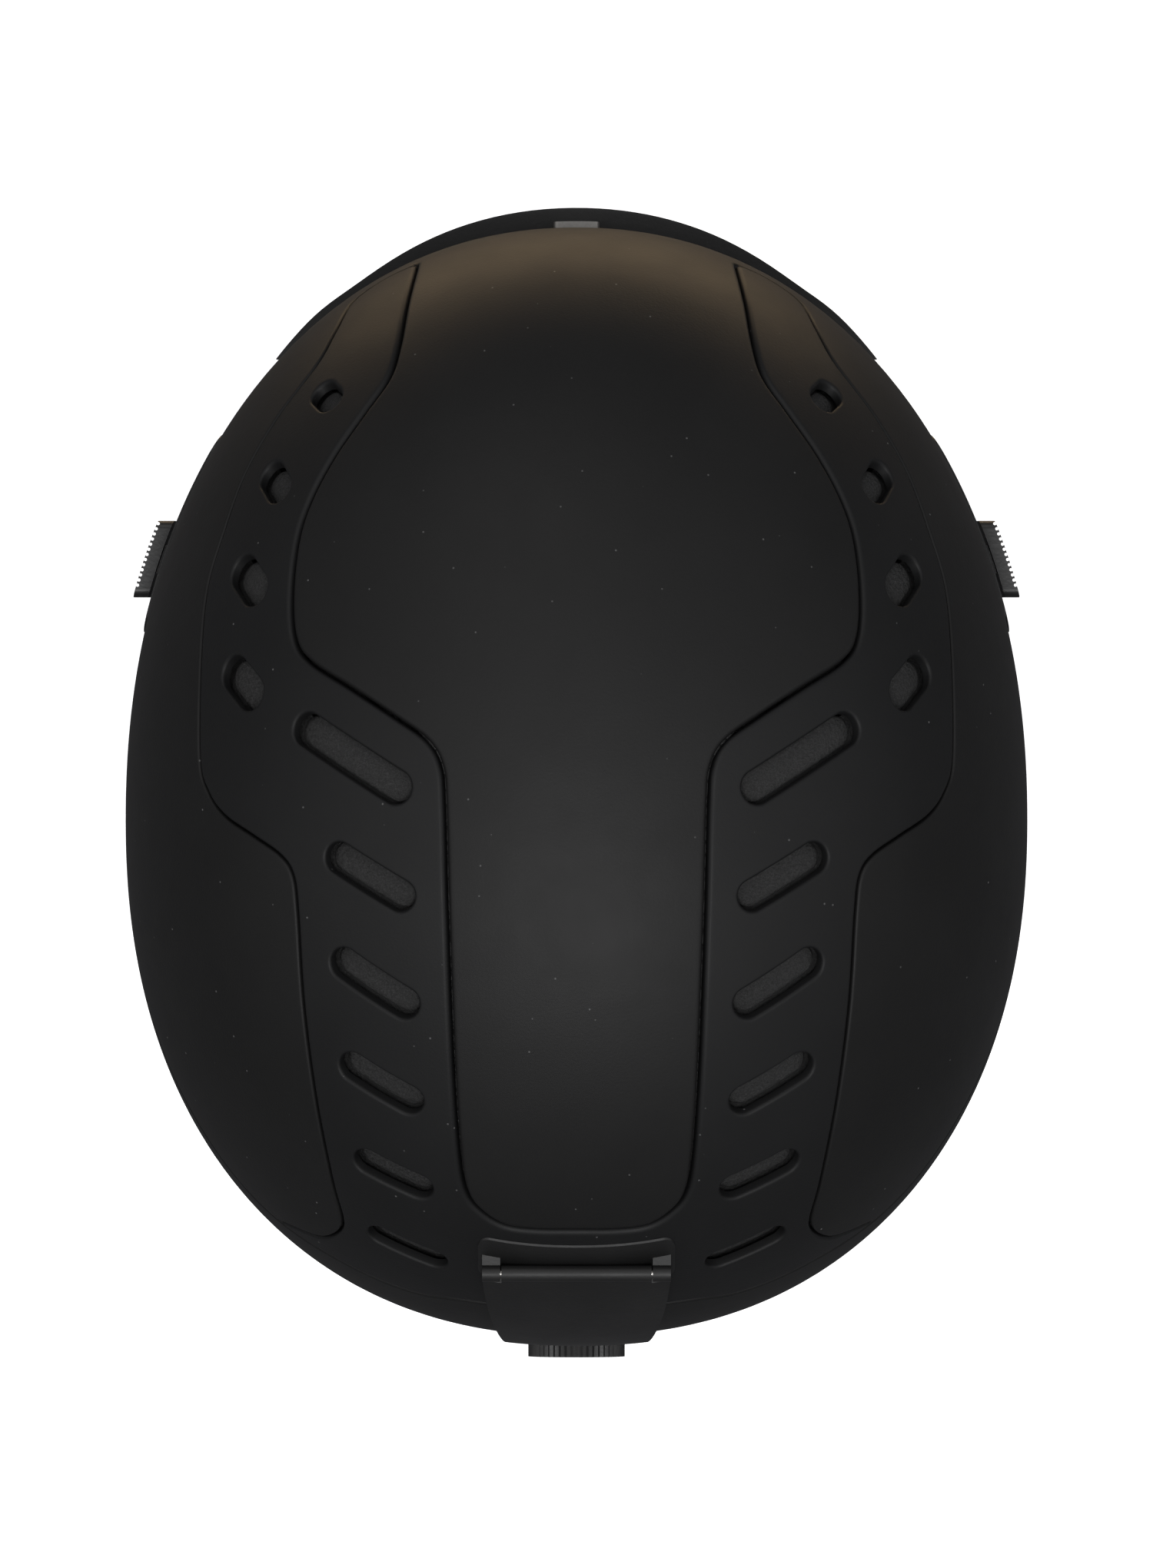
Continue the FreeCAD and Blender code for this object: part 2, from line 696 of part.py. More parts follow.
def rear(x, y, z):
    """Point placed from the dial's axis, z counted from the dial's level."""
    return Vector(x, y, DIAL_LEVEL + z)


def make_fit_dial():
    points = []
    for i in range(DIAL_RIDGES * 4):
        angle = 2 * math.pi * i / (DIAL_RIDGES * 4)
        radius = DIAL_RADIUS - 0.45 * (0.5 + 0.5 * math.cos(DIAL_RIDGES * angle))
        points.append(
            rear(radius * math.cos(angle), DIAL_BACK - DIAL_THICKNESS, radius * math.sin(angle))
        )
    wheel = Part.Face(Part.makePolygon(points + points[:1])).extrude(
        Vector(0, DIAL_THICKNESS, 0)
    )
    back = Vector(0, 1, 0)
    dish = cylinder(rear(0, DIAL_BACK - 0.9, 0), back, DIAL_RADIUS - 3.2, 3)
    hub_length = DIAL_BACK - DIAL_THICKNESS - HUB_FRONT + 1
    hub = cylinder(rear(0, HUB_FRONT, 0), back, HUB_RADIUS, hub_length)
    bore = cylinder(rear(0, HUB_FRONT - 1, 0), back, SHAFT_RADIUS + 0.01, 4.6)
    return joined([wheel.cut(dish), hub]).cut(bore)


def tooth_outline(base, tip, base_half, tip_half):
    return [(base, base_half), (tip, tip_half), (tip, -tip_half), (base, -base_half)]


def make_dial_shaft():
    back = Vector(0, 1, 0)
    shaft = cylinder(rear(0, RACK_NEAR, 0), back, SHAFT_RADIUS, HUB_FRONT + 3.5 - RACK_NEAR)
    root = PINION_PITCH - 1.05 * TOOTH_MODULE
    tip = PINION_PITCH + 0.75 * TOOTH_MODULE
    points = []
    for i in range(PINION_TEETH):
        turn = 2 * math.pi * (i + 0.5) / PINION_TEETH
        for radius, half in tooth_outline(root, tip, 0.95, 0.28):
            angle = turn - math.atan2(half, radius)
            reach = math.hypot(radius, half)
            points.append(rear(reach * math.sin(angle), RACK_NEAR, reach * math.cos(angle)))
    gear = Part.Face(Part.makePolygon(points + points[:1])).extrude(
        Vector(0, RACK_FAR - RACK_NEAR, 0)
    )
    return joined([shaft, gear])


def make_rack():
    """Toothed bar above the pinion, fixed to the left band's rear end."""
    pitch = math.pi * TOOTH_MODULE
    root = PINION_PITCH + 1.0 * TOOTH_MODULE
    tip = PINION_PITCH - 0.6 * TOOTH_MODULE
    start = rear(-12.5, RACK_NEAR, root)
    bar = box(start, rear(BAND_START + 1, RACK_FAR, root + 2))
    teeth = [bar]
    for i in range(-4, 6):
        middle = i * pitch
        outline = [(middle + half, level) for level, half in tooth_outline(root, tip, 0.95, 0.32)]
        points = [rear(x, RACK_NEAR, z) for x, z in outline]
        face = Part.Face(Part.makePolygon(points + points[:1]))
        teeth.append(face.extrude(Vector(0, RACK_FAR - RACK_NEAR, 0)))
    return joined(teeth)


def make_retention_band(upside_down):
    """Left band with its rack; upside_down puts the rack below the pinion."""
    strip_box = box((BAND_START, -46, DIAL_LEVEL - 5), (90, 130, DIAL_LEVEL + 5))
    strip = layer(BAND_OUTSIDE, BAND_INSIDE).common(strip_box)
    low = DIAL_LEVEL - (8 if upside_down else 5)
    high = DIAL_LEVEL + (5 if upside_down else 8)
    riser = box((BAND_START, RACK_NEAR - 3, low), (BAND_START + 3, RACK_FAR, high))
    rack = make_rack()
    if upside_down:
        rack.rotate(rear(0, 0, 0), Vector(0, 1, 0), 180)
        rack = mirrored(rack)
    return joined([strip, riser, rack])


def make_dial_housing():
    block = box(
        (-HOUSING_HALF, HOUSING_FRONT, DIAL_LEVEL - 13),
        (HOUSING_HALF, 112.0, DIAL_LEVEL + 13),
    )
    block = rounded(block, 5.0, Vector(0, 1, 0))
    back = Vector(0, 1, 0)
    boss = Part.makeCone(17.5, 14.2, HOUSING_BACK - 108.0, rear(0, 108.0, 0), back)
    room = box(
        (-HOUSING_HALF - 1, RACK_NEAR - 0.5, DIAL_LEVEL - 8.6),
        (HOUSING_HALF + 1, RACK_FAR + 0.5, DIAL_LEVEL + 8.6),
    )
    bore = cylinder(rear(0, 90.0, 0), back, SHAFT_RADIUS + RUNNING_GAP, 50)
    return joined([block, boss]).cut([room, bore])


# ---------------------------------------------------------------- pads


def pad_layer():
    return layer(PAD_OUTSIDE, PAD_INSIDE)


def make_brow_pad():
    region = box((-60, -FAR, -17.5), (60, -60, 15))
    region = rounded(region, 12.0, Vector(0, 1, 0))
    return pad_layer().common(region)


def make_crown_pad():
    region = box((-24, -58, 20), (24, 62, 120))
    region = rounded(region, 18.0, Vector(0, 0, 1))
    return pad_layer().common(region)


def make_side_pad():
    region = box((40, -52, -27), (120, 52, 30))
    region = rounded(region, 14.0, Vector(1, 0, 0))
    return pad_layer().common(region)


def make_rear_pad():
    region = box((-46, 50, -14), (46, 120, 38))
    region = rounded(region, 14.0, Vector(0, 1, 0))
    return pad_layer().common(region)


def make_nape_pad():
    pad = box((-20.4, 80.6, DIAL_LEVEL - 16), (20.4, 88.2, DIAL_LEVEL + 12))
    pad = rounded(pad, 9.0, Vector(0, 1, 0))
    front = [e for e in pad.Edges if abs(e.BoundBox.YMax - 80.6) < 0.01]
    return pad.makeFillet(3.0, front)


def make_ear_pad():
    inner_face = 80.5
    thickness = 11.0
    lean = 3.5
    top = -37.5
    outline = [(-32.0, top), (42.0, top), (41.0, -58.0), (31.0, -80.0), (14.0, -95.0),
               (-4.0, -95.0), (-21.0, -80.0), (-31.0, -58.0)]
    points = [Vector(inner_face, y, z) for y, z in outline]
    runs = [points[:2], points[1:] + points[:1]]
    pad = face_of(runs).extrude(Vector(thickness, 0, 0))
    pad.rotate(Vector(inner_face + thickness / 2, 0, top), Vector(0, 1, 0), lean)
    return pad


# ---------------------------------------------------------------- straps


def web(start, end, grow=0.0):
    """Flat webbing in the plane beside the ear, from one (fore, level) to another."""
    run = math.hypot(end[0] - start[0], end[1] - start[1])
    along = Vector(0, -(end[0] - start[0]) / run, (end[1] - start[1]) / run)
    across = Vector(1, 0, 0).cross(along) * (WEB_WIDTH / 2 + grow)
    near = WEB_PLANE - WEB_THICKNESS / 2 - grow
    a = Vector(near, -start[0], start[1]) - along * grow
    b = Vector(near, -end[0], end[1]) + along * grow
    corners = [a + across, b + across, b - across, a - across, a + across]
    face = Part.Face(Part.makePolygon(corners))
    return face.extrude(Vector(WEB_THICKNESS + 2 * grow, 0, 0))


def strap_top(anchor, foot):
    """Where the webbing's centre line reaches past its anchor rivet."""
    run = math.hypot(anchor[0] - foot[0], anchor[1] - foot[1])
    past = 7.0 / run
    return (anchor[0] + (anchor[0] - foot[0]) * past, anchor[1] + (anchor[1] - foot[1]) * past)


FRONT_FOOT = (9.0, -92.0)
REAR_FOOT = (-17.0, -92.0)


def strap_pockets():
    return [
        web(strap_top(FRONT_ANCHOR, FRONT_FOOT), FRONT_FOOT, 0.4),
        web(strap_top(REAR_ANCHOR, REAR_FOOT), REAR_FOOT, 0.4),
    ]


def make_ear_strap(anchor, foot):
    hole = cylinder(Vector(80, -anchor[0], anchor[1]), Vector(1, 0, 0), 3.02, 30)
    return web(strap_top(anchor, foot), foot).cut(hole)


def make_strap_anchors():
    rivets = []
    for fore, level in (FRONT_ANCHOR, REAR_ANCHOR):
        rivet = cylinder(Vector(90.8, -fore, level), Vector(1, 0, 0), 3.0, 6.0)
        rivets += both_sides(rivet)
    return Part.Compound(rivets)


def make_strap_divider():
    top = -84.0
    bottom = -113.5
    outline = [
        Vector(0, -21, top), Vector(0, 29, top), Vector(0, 29, top - 9),
        Vector(0, 13, bottom), Vector(0, -5, bottom), Vector(0, -21, top - 9),
    ]
    face = Part.Face(Part.makePolygon(outline + outline[:1]))
    plates = []
    for near in (WEB_PLANE - WEB_THICKNESS / 2 - 2.2, WEB_PLANE + WEB_THICKNESS / 2 + 0.4):
        plate = face.extrude(Vector(1.8, 0, 0))
        plate.translate(Vector(near, 0, 0))
        plates.append(rounded(plate, 2.5, Vector(1, 0, 0)))
    web_bar = box((WEB_PLANE - 2, 2.6, -94), (WEB_PLANE + 2, 5.4, top - 1))
    pivot = cylinder(
        Vector(WEB_PLANE - 2, -PIVOT_FORE, PIVOT_LEVEL), Vector(1, 0, 0), PIVOT_RADIUS, 4
    )
    return joined(plates + [web_bar, pivot])


def chin_path(straight_end):
    """Corners of the chin strap's centre line, as (x, z), from the ear to straight_end."""
    return [
        (WEB_PLANE, PIVOT_LEVEL), (WEB_PLANE, CHIN_BEND_LEVEL),
        (CHIN_CORNER, CHIN_LEVEL), (straight_end, CHIN_LEVEL),
    ]


def mitred(points, distance):
    """A line of straight runs moved sideways, its corners kept on their bisectors."""
    moved = []
    for i, (a, b) in enumerate(points):
        before = points[max(i - 1, 0)]
        after = points[min(i + 1, len(points) - 1)]
        normals = []
        for start, end in ((before, (a, b)), ((a, b), after)):
            run = math.hypot(end[0] - start[0], end[1] - start[1])
            if run > 0:
                normals.append(((start[1] - end[1]) / run, (end[0] - start[0]) / run))
        total = (sum(n[0] for n in normals), sum(n[1] for n in normals))
        scale = distance * len(normals) / (total[0] ** 2 + total[1] ** 2)
        moved.append((a + total[0] * scale, b + total[1] * scale))
    return moved


def ribbon(corners, radii, width, thickness):
    """Strap whose width runs fore and aft, with rounded bends, from its centre line."""
    near = -PIVOT_FORE - width / 2
    outer = mitred(corners, thickness / 2)
    inner = mitred(corners, -thickness / 2)
    loop = [Vector(x, near, z) for x, z in outer + inner[::-1]]
    strap = Part.Face(Part.makePolygon(loop + loop[:1])).extrude(Vector(0, width, 0))
    for i, radius in enumerate(radii):
        for line in (outer, inner):
            x, z = line[i + 1]
            centre = corners[i + 1]
            bulge = math.hypot(x, z) > math.hypot(*centre)
            bend = radius + (thickness / 2 if bulge else -thickness / 2)
            edge = [
                e for e in strap.Edges
                if abs(e.BoundBox.XMin - x) < 0.01 and abs(e.BoundBox.ZMin - z) < 0.01
                and e.BoundBox.XLength < 0.01
                and e.BoundBox.ZLength < 0.01
            ]
            strap = strap.makeFillet(bend, edge)
    return strap


def make_chin_half(straight_end):
    """Left half of the chin strap, running on to straight_end under the chin."""
    half = ribbon(chin_path(straight_end), CHIN_BENDS, WEB_WIDTH, WEB_THICKNESS)
    tab = cylinder(
        Vector(WEB_PLANE - WEB_THICKNESS / 2, -PIVOT_FORE, PIVOT_LEVEL),
        Vector(1, 0, 0), WEB_WIDTH / 2, WEB_THICKNESS,
    )
    hole = cylinder(
        Vector(80, -PIVOT_FORE, PIVOT_LEVEL), Vector(1, 0, 0), PIVOT_RADIUS + RUNNING_GAP, 30
    )
    return joined([half, tab]).cut(hole)


def make_chin_strap_left():
    return make_chin_half(BUCKLE_X[1] - 6)


def make_chin_strap_right():
    return mirrored(make_chin_half(-BUCKLE_X[0] - 6))


# ---------------------------------------------------------------- buckle

BUCKLE_HALF_WIDTH = 12.0
BUCKLE_HALF_HEIGHT = 4.0
BUCKLE_SPLIT = 23.0
PRONG_TRAVEL = 2.2


def at_buckle(low, high):
    """Box placed from the buckle's middle line: x, y from the strap's middle, z from it."""
    return box(
        (low[0], -PIVOT_FORE + low[1], CHIN_LEVEL + low[2]),
        (high[0], -PIVOT_FORE + high[1], CHIN_LEVEL + high[2]),
    )


def make_buckle_female():
    w = BUCKLE_HALF_WIDTH
    h = BUCKLE_HALF_HEIGHT
    body = at_buckle((BUCKLE_X[0], -w, -h), (BUCKLE_SPLIT, w, h))
    body = rounded(body, 2.5, Vector(0, 0, 1))
    body = rounded(body, 1.5, Vector(1, 0, 0))
    mouth = at_buckle((5, -w + 2, -2.2), (BUCKLE_SPLIT + 1, w - 2, 2.2))
    windows = at_buckle((7.5, -w - 1, -2.2), (17.5, w + 1, 2.2))
    half = WEB_WIDTH / 2 + 0.3
    strap_slot = at_buckle((BUCKLE_X[0] - 1, -half, -1.0), (4.4, half, 1.0))
    return body.cut([mouth, windows, strap_slot])


def make_buckle_male():
    w = BUCKLE_HALF_WIDTH
    h = BUCKLE_HALF_HEIGHT
    body = at_buckle((BUCKLE_SPLIT + 0.4, -w, -h), (BUCKLE_X[1], w, h))
    body = rounded(body, 2.5, Vector(0, 0, 1))
    body = rounded(body, 1.5, Vector(1, 0, 0))
    guide = at_buckle((7, -2.0, -1.8), (BUCKLE_SPLIT + 1, 2.0, 1.8))
    root = at_buckle((BUCKLE_SPLIT - 2.4, -w + 2.4, -1.8), (BUCKLE_SPLIT + 1, w - 2.4, 1.8))
    half = WEB_WIDTH / 2 + 0.3
    strap_slot = at_buckle((BUCKLE_X[1] - 6.4, -half, -1.0), (BUCKLE_X[1] + 1, half, 1.0))
    return joined([body, guide, root]).cut(strap_slot)


def make_buckle_prong():
    """Front release prong, which is pressed towards the buckle's middle."""
    w = BUCKLE_HALF_WIDTH
    arm = at_buckle((8.2, -w + 2.4, -1.8), (BUCKLE_SPLIT - 2.8, -w + 5.6, 1.8))
    pad = at_buckle((8.2, -w - 0.6, -1.8), (16.8, -w + 3, 1.8))
    pad = rounded(pad, 1.2, Vector(0, 0, 1))
    return joined([arm, pad])


def other_prong(prong):
    return prong.mirror(Vector(0, -PIVOT_FORE, 0), Vector(0, 1, 0))


def make_chin_pad():
    pad = at_buckle((-46, -15, 1.1), (-6, 15, 8.6))
    pad = rounded(pad, 9.0, Vector(0, 0, 1))
    top = [e for e in pad.Edges if abs(e.BoundBox.ZMin - (CHIN_LEVEL + 8.6)) < 0.01]
    return pad.makeFillet(3.0, top)


def make_strap_keeper():
    """Elastic loop that holds the spare webbing, on the left run of the strap."""
    ring = box((-4.5, -WEB_WIDTH / 2 - 1.6, -2.6), (4.5, WEB_WIDTH / 2 + 1.6, 2.6))
    hole = box((-5.5, -WEB_WIDTH / 2 - 0.3, -1.3), (5.5, WEB_WIDTH / 2 + 0.3, 1.3))
    ring = rounded(ring, 1.0, Vector(1, 0, 0)).cut(hole)
    slant = Vector(CHIN_CORNER - WEB_PLANE, 0, CHIN_LEVEL - CHIN_BEND_LEVEL)
    ring.rotate(Vector(0, 0, 0), Vector(0, 1, 0), math.degrees(math.atan2(slant.z, -slant.x)))
    ring.translate(Vector(WEB_PLANE, -PIVOT_FORE, CHIN_BEND_LEVEL) + slant * KEEPER_SHARE)
    return ring


# ---------------------------------------------------------------- export


def write(name, shape):
    """Write one sub-part, and print its size for the log."""
    solids = shape.Solids
    good = all(s.isValid() and s.Volume > 0 for s in solids)
    whole = shape if len(solids) > 1 else solids[0]
    whole.exportStep(f"parts/{name}.step")
    volume = sum(s.Volume for s in solids)
    print(f"{name:24s} solids {len(solids)} valid {good} cm3 {volume / 1000:8.2f}")


def write_pair(name, shape):
    write(name + "_left", shape)
    write(name + "_right", mirrored(shape))


def main():
    os.makedirs("parts", exist_ok=True)
    write("upper_shell", make_upper_shell())
    write("vent_shell", make_vent_shell())
    write("lower_shell", make_lower_shell())
    write("front_visor", make_front_visor())
    write("front_badge", make_front_badge())
    write("edge_trim", make_edge_trim())
    write("eps_liner", make_eps_liner())
    write_pair("slider_track", make_slider_track())
    write_pair("vent_slider", make_vent_slider())
    write_pair("front_shutter", make_front_shutter())
    write_pair("rear_shutter", make_rear_shutter())
    write("goggle_clip", make_goggle_clip())
    write("goggle_clip_base", make_goggle_clip_base())
    write("clip_hinge_pin", make_clip_hinge_pin())
    write("fit_dial", make_fit_dial())
    write("dial_shaft", make_dial_shaft())
    write("dial_housing", make_dial_housing())
    write("retention_band_left", make_retention_band(False))
    write("retention_band_right", mirrored(make_retention_band(True)))
    write("brow_pad", make_brow_pad())
    write("crown_pad", make_crown_pad())
    write_pair("side_pad", make_side_pad())
    write("rear_pad", make_rear_pad())
    write("nape_pad", make_nape_pad())
    write_pair("ear_pad", make_ear_pad())
    write_pair("front_strap", make_ear_strap(FRONT_ANCHOR, FRONT_FOOT))
    write_pair("rear_strap", make_ear_strap(REAR_ANCHOR, REAR_FOOT))
    write_pair("strap_divider", make_strap_divider())
    write("strap_anchors", make_strap_anchors())
    write("chin_strap_left", make_chin_strap_left())
    write("chin_strap_right", make_chin_strap_right())
    write("buckle_female", make_buckle_female())
    write("buckle_male", make_buckle_male())
    write("buckle_prong_front", make_buckle_prong())
    write("buckle_prong_rear", other_prong(make_buckle_prong()))
    write("chin_pad", make_chin_pad())
    write("strap_keeper", make_strap_keeper())
    direction = slide_direction()
    print("vent slider direction", [round(c, 5) for c in direction])


main()
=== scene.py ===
import math

import bmesh
import bpy
import numpy as np
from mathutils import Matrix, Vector, kdtree
from mathutils.geometry import delaunay_2d_cdt


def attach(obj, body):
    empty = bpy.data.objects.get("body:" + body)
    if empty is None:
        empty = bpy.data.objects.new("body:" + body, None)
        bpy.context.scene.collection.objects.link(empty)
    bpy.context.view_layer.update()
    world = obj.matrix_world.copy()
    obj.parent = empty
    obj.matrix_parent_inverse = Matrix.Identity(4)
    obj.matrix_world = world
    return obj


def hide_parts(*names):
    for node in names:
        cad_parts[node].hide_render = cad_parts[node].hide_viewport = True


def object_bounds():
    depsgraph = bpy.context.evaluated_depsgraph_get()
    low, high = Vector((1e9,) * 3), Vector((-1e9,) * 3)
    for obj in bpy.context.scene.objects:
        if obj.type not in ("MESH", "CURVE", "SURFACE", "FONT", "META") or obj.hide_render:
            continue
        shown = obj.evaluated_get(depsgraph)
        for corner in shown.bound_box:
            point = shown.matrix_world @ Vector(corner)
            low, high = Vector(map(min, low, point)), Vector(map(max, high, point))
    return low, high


# Looks of the ski helmet. Shapes are worked out in millimetres and placed in metres.
# Plan outlines are (lateral, fore) pairs: lateral is +X and fore is -Y.

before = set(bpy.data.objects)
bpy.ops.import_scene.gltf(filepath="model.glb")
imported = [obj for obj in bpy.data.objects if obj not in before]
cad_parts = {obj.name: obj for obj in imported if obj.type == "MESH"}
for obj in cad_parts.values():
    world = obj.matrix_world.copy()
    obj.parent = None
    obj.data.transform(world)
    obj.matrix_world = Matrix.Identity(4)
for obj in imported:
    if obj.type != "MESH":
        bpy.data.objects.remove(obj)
cad_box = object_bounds()
MM = 0.001

# ---------------------------------------------------------------- shell shape

HALF_WIDTH = 111.0
FRONT_LENGTH = 145.5
REAR_LENGTH = 127.4
CROWN_HEIGHT = 110.0
UNDER_HEIGHT = 130.0
FRONT_PLAN_POWER = 2.12
REAR_PLAN_POWER = 2.22
CROWN_POWER = 2.15
UNDER_POWER = 2.0
SHELL_THICKNESS = 2.4
LOWER_SHELL_FORE = 113.0
SEAM_HALF_GAP = 0.3

CROWN_EDGE = [
    (39.2, 136.2), (41.5, 126.3), (43.4, 115.4), (45.8, 107.6), (51.5, 99.4),
    (58.7, 89.1), (64.4, 78.6), (67.8, 68.5), (69.3, 55.0), (68.6, 44.2),
    (65.0, 38.4), (55.0, 31.9), (44.2, 24.8), (36.4, 19.2), (32.9, 13.1),
    (32.0, 4.0), (31.3, -22.3), (29.9, -60.0), (28.4, -82.5), (26.7, -91.2),
    (23.2, -95.8), (17.6, -99.2), (10.0, -100.3), (0.0, -100.4),
]
WING_EDGE = [
    (39.2, 136.2), (46.9, 132.6), (55.0, 126.7), (59.0, 119.5), (63.4, 111.3),
    (73.1, 98.2), (80.9, 84.5), (86.2, 70.0), (90.2, 56.0), (91.7, 38.0),
    (91.9, 15.0), (89.9, 6.7), (85.8, 0.8), (78.6, -4.2), (72.2, -8.7),
    (69.1, -13.2), (67.9, -21.4), (66.4, -45.0), (63.5, -68.0), (59.7, -88.0),
    (57.3, -97.4), (57.9, -100.7), (60.9, -102.4), (64.7, -101.9), (73.5, -98.4),
]
LOWER_SEAM = [
    (-140.0, 46.0), (-120.0, 41.2), (-116.0, 34.6), (-107.8, 30.3), (-98.6, 23.8),
    (-90.0, 20.6), (-73.0, 17.5), (-20.0, 5.0), (30.0, -2.0), (75.0, -4.5),
    (100.0, -8.5), (114.0, -13.0), (130.0, -13.5), (155.0, -12.0),
]
RIM = [
    (-140.0, -60.0), (-112.0, -57.0), (-90.0, -47.5), (-70.0, -38.5), (-48.0, -33.0),
    (-15.0, -32.0), (18.0, -32.0), (40.0, -35.0), (58.0, -40.5), (75.0, -40.5),
    (95.0, -32.0), (112.0, -25.0), (130.0, -21.0), (155.0, -19.5),
]
# vents of one side, front to back: two end centres in plan and the width
VENTS = [
    ((61.8, 104.0), (60.2, 102.4), 7.2),
    ((74.4, 83.9), (72.6, 80.7), 7.8),
    ((81.2, 60.3), (78.6, 56.3), 9.0),
    ((83.3, 35.5), (79.6, 30.9), 9.0),
    ((65.3, 21.8), (44.0, 7.8), 8.4),
    ((57.6, -9.5), (42.9, -18.6), 7.8),
    ((56.3, -35.2), (41.9, -44.7), 7.9),
    ((54.2, -60.4), (40.9, -68.3), 7.7),
    ((50.8, -83.7), (38.6, -89.6), 7.6),
    ((47.7, -102.0), (35.0, -107.6), 7.2),
]
FRONT_VENT_COUNT = 4


def shell_radius(directions, inset=0.0):
    """Distance from the origin to the surface at an inset, for rows of unit directions."""
    x, y, z = np.abs(directions).T
    front = directions[:, 1] < 0
    up = directions[:, 2] > 0
    length = np.where(front, FRONT_LENGTH, REAR_LENGTH) - inset
    power = np.where(front, FRONT_PLAN_POWER, REAR_PLAN_POWER)
    height = np.where(up, CROWN_HEIGHT, UNDER_HEIGHT) - inset
    rise = np.where(up, CROWN_POWER, UNDER_POWER)
    plan = (x / (HALF_WIDTH - inset)) ** power + (y / length) ** power
    total = plan ** (rise / power) + (z / height) ** rise
    return total ** (-1 / rise)


def unit(rows):
    return rows / np.linalg.norm(rows, axis=1)[:, None]


def on_shell(rows, inset=0.0):
    directions = unit(rows)
    return directions * shell_radius(directions, inset)[:, None]


def normals(points):
    """Outward unit normals of the shell at rows of points on it."""
    step = 0.05
    slopes = []
    for axis in np.eye(3) * step:
        ahead = points + axis
        behind = points - axis
        rise = np.linalg.norm(ahead, axis=1) - shell_radius(unit(ahead))
        fall = np.linalg.norm(behind, axis=1) - shell_radius(unit(behind))
        slopes.append(rise - fall)
    return unit(np.array(slopes).T)


def plan_points(places):
    """Points of the upper surface over places in plan."""
    rows = []
    for lateral, fore in places:
        length = FRONT_LENGTH if fore > 0 else REAR_LENGTH
        power = FRONT_PLAN_POWER if fore > 0 else REAR_PLAN_POWER
        across = (abs(lateral) / HALF_WIDTH) ** power + (abs(fore) / length) ** power
        reach = min(across, 1.0) ** (CROWN_POWER / power)
        rows.append((lateral, -fore, CROWN_HEIGHT * (1 - reach) ** (1 / CROWN_POWER)))
    return np.array(rows)


def smooth(places, steps=10):
    """Curve through places, as many short steps."""
    points = [np.array(p, float) for p in places]
    points = [2 * points[0] - points[1]] + points + [2 * points[-1] - points[-2]]
    curve = []
    for a, b, c, d in zip(points, points[1:], points[2:], points[3:]):
        for i in range(steps):
            t = i / steps
            curve.append(
                0.5 * (2 * b + (c - a) * t + (2 * a - 5 * b + 4 * c - d) * t * t
                       + (3 * b - a - 3 * c + d) * t ** 3)
            )
    curve.append(points[-2])
    return np.array(curve)


def level_line(profile, start, end):
    """Points on the left side along a (fore, height) profile, between two fore places."""
    line = smooth(profile)

    def height_at(fore):
        return float(np.interp(fore, line[:, 0], line[:, 1]))

    def reach_at(level):
        top = CROWN_HEIGHT if level > 0 else UNDER_HEIGHT
        rise = CROWN_POWER if level > 0 else UNDER_POWER
        return (1 - (abs(level) / top) ** rise) ** (1 / rise)

    def limit(fore):
        """Where the profile meets the middle plane, if fore lies beyond it."""
        length = FRONT_LENGTH if fore > 0 else REAR_LENGTH
        meeting = math.copysign(length, fore)
        for _ in range(20):
            meeting = math.copysign(length * reach_at(height_at(meeting)), fore)
        return meeting if abs(fore) > abs(meeting) else fore

    start = limit(start)
    end = limit(end)
    rows = []
    for t in np.linspace(0, math.pi, 400):
        fore = start + (end - start) * (1 - math.cos(t)) / 2
        level = height_at(fore)
        length = FRONT_LENGTH if fore > 0 else REAR_LENGTH
        power = FRONT_PLAN_POWER if fore > 0 else REAR_PLAN_POWER
        room = reach_at(level) ** power - (abs(fore) / length) ** power
        rows.append((HALF_WIDTH * max(room, 0) ** (1 / power), -fore, level))
    return np.array(rows)


def rear_points(places):
    """Points of the rear surface at (lateral, height) places below the widest level."""
    rows = []
    for lateral, level in places:
        reach = math.sqrt(1 - (level / UNDER_HEIGHT) ** 2)
        room = reach ** REAR_PLAN_POWER - (abs(lateral) / HALF_WIDTH) ** REAR_PLAN_POWER
        rows.append((lateral, REAR_LENGTH * room ** (1 / REAR_PLAN_POWER), level))
    return np.array(rows)


def other_side(rows):
    return rows * np.array([-1, 1, 1])


def resampled(rows, spacing):
    """The same line with even steps of about this length."""
    steps = np.linalg.norm(np.diff(rows, axis=0), axis=1)
    places = np.concatenate([[0], np.cumsum(steps)])
    count = max(int(round(places[-1] / spacing)), 1)
    wanted = np.linspace(0, places[-1], count + 1)
    return np.array([np.interp(wanted, places, rows[:, i]) for i in range(3)]).T


def stadium(first, second, width, shift=(0.0, 0.0), spacing=0.8):
    """Closed round-ended outline on the shell, as a vent is cut, moved by shift."""
    start, end = plan_points([first, second])
    middle = (start + end) / 2
    normal = normals(middle[None])[0]
    along = end - start
    along = along - normal * along.dot(normal)
    reach = np.linalg.norm(along) / 2
    along = along / np.linalg.norm(along)
    across = np.cross(normal, along)
    half = width / 2
    count = max(int(2 * reach / spacing), 2)
    arc = 24
    flat = [(-reach + 2 * reach * i / count, half) for i in range(count)]
    flat += [(reach + half * math.sin(a), half * math.cos(a))
             for a in np.linspace(0, math.pi, arc, endpoint=False)]
    flat += [(reach - 2 * reach * i / count, -half) for i in range(count)]
    flat += [(-reach - half * math.sin(a), -half * math.cos(a))
             for a in np.linspace(0, math.pi, arc, endpoint=False)]
    rows = [middle + along * (a + shift[0]) + across * (b + shift[1]) for a, b in flat]
    return on_shell(np.array(rows))


# ---------------------------------------------------------------- panels

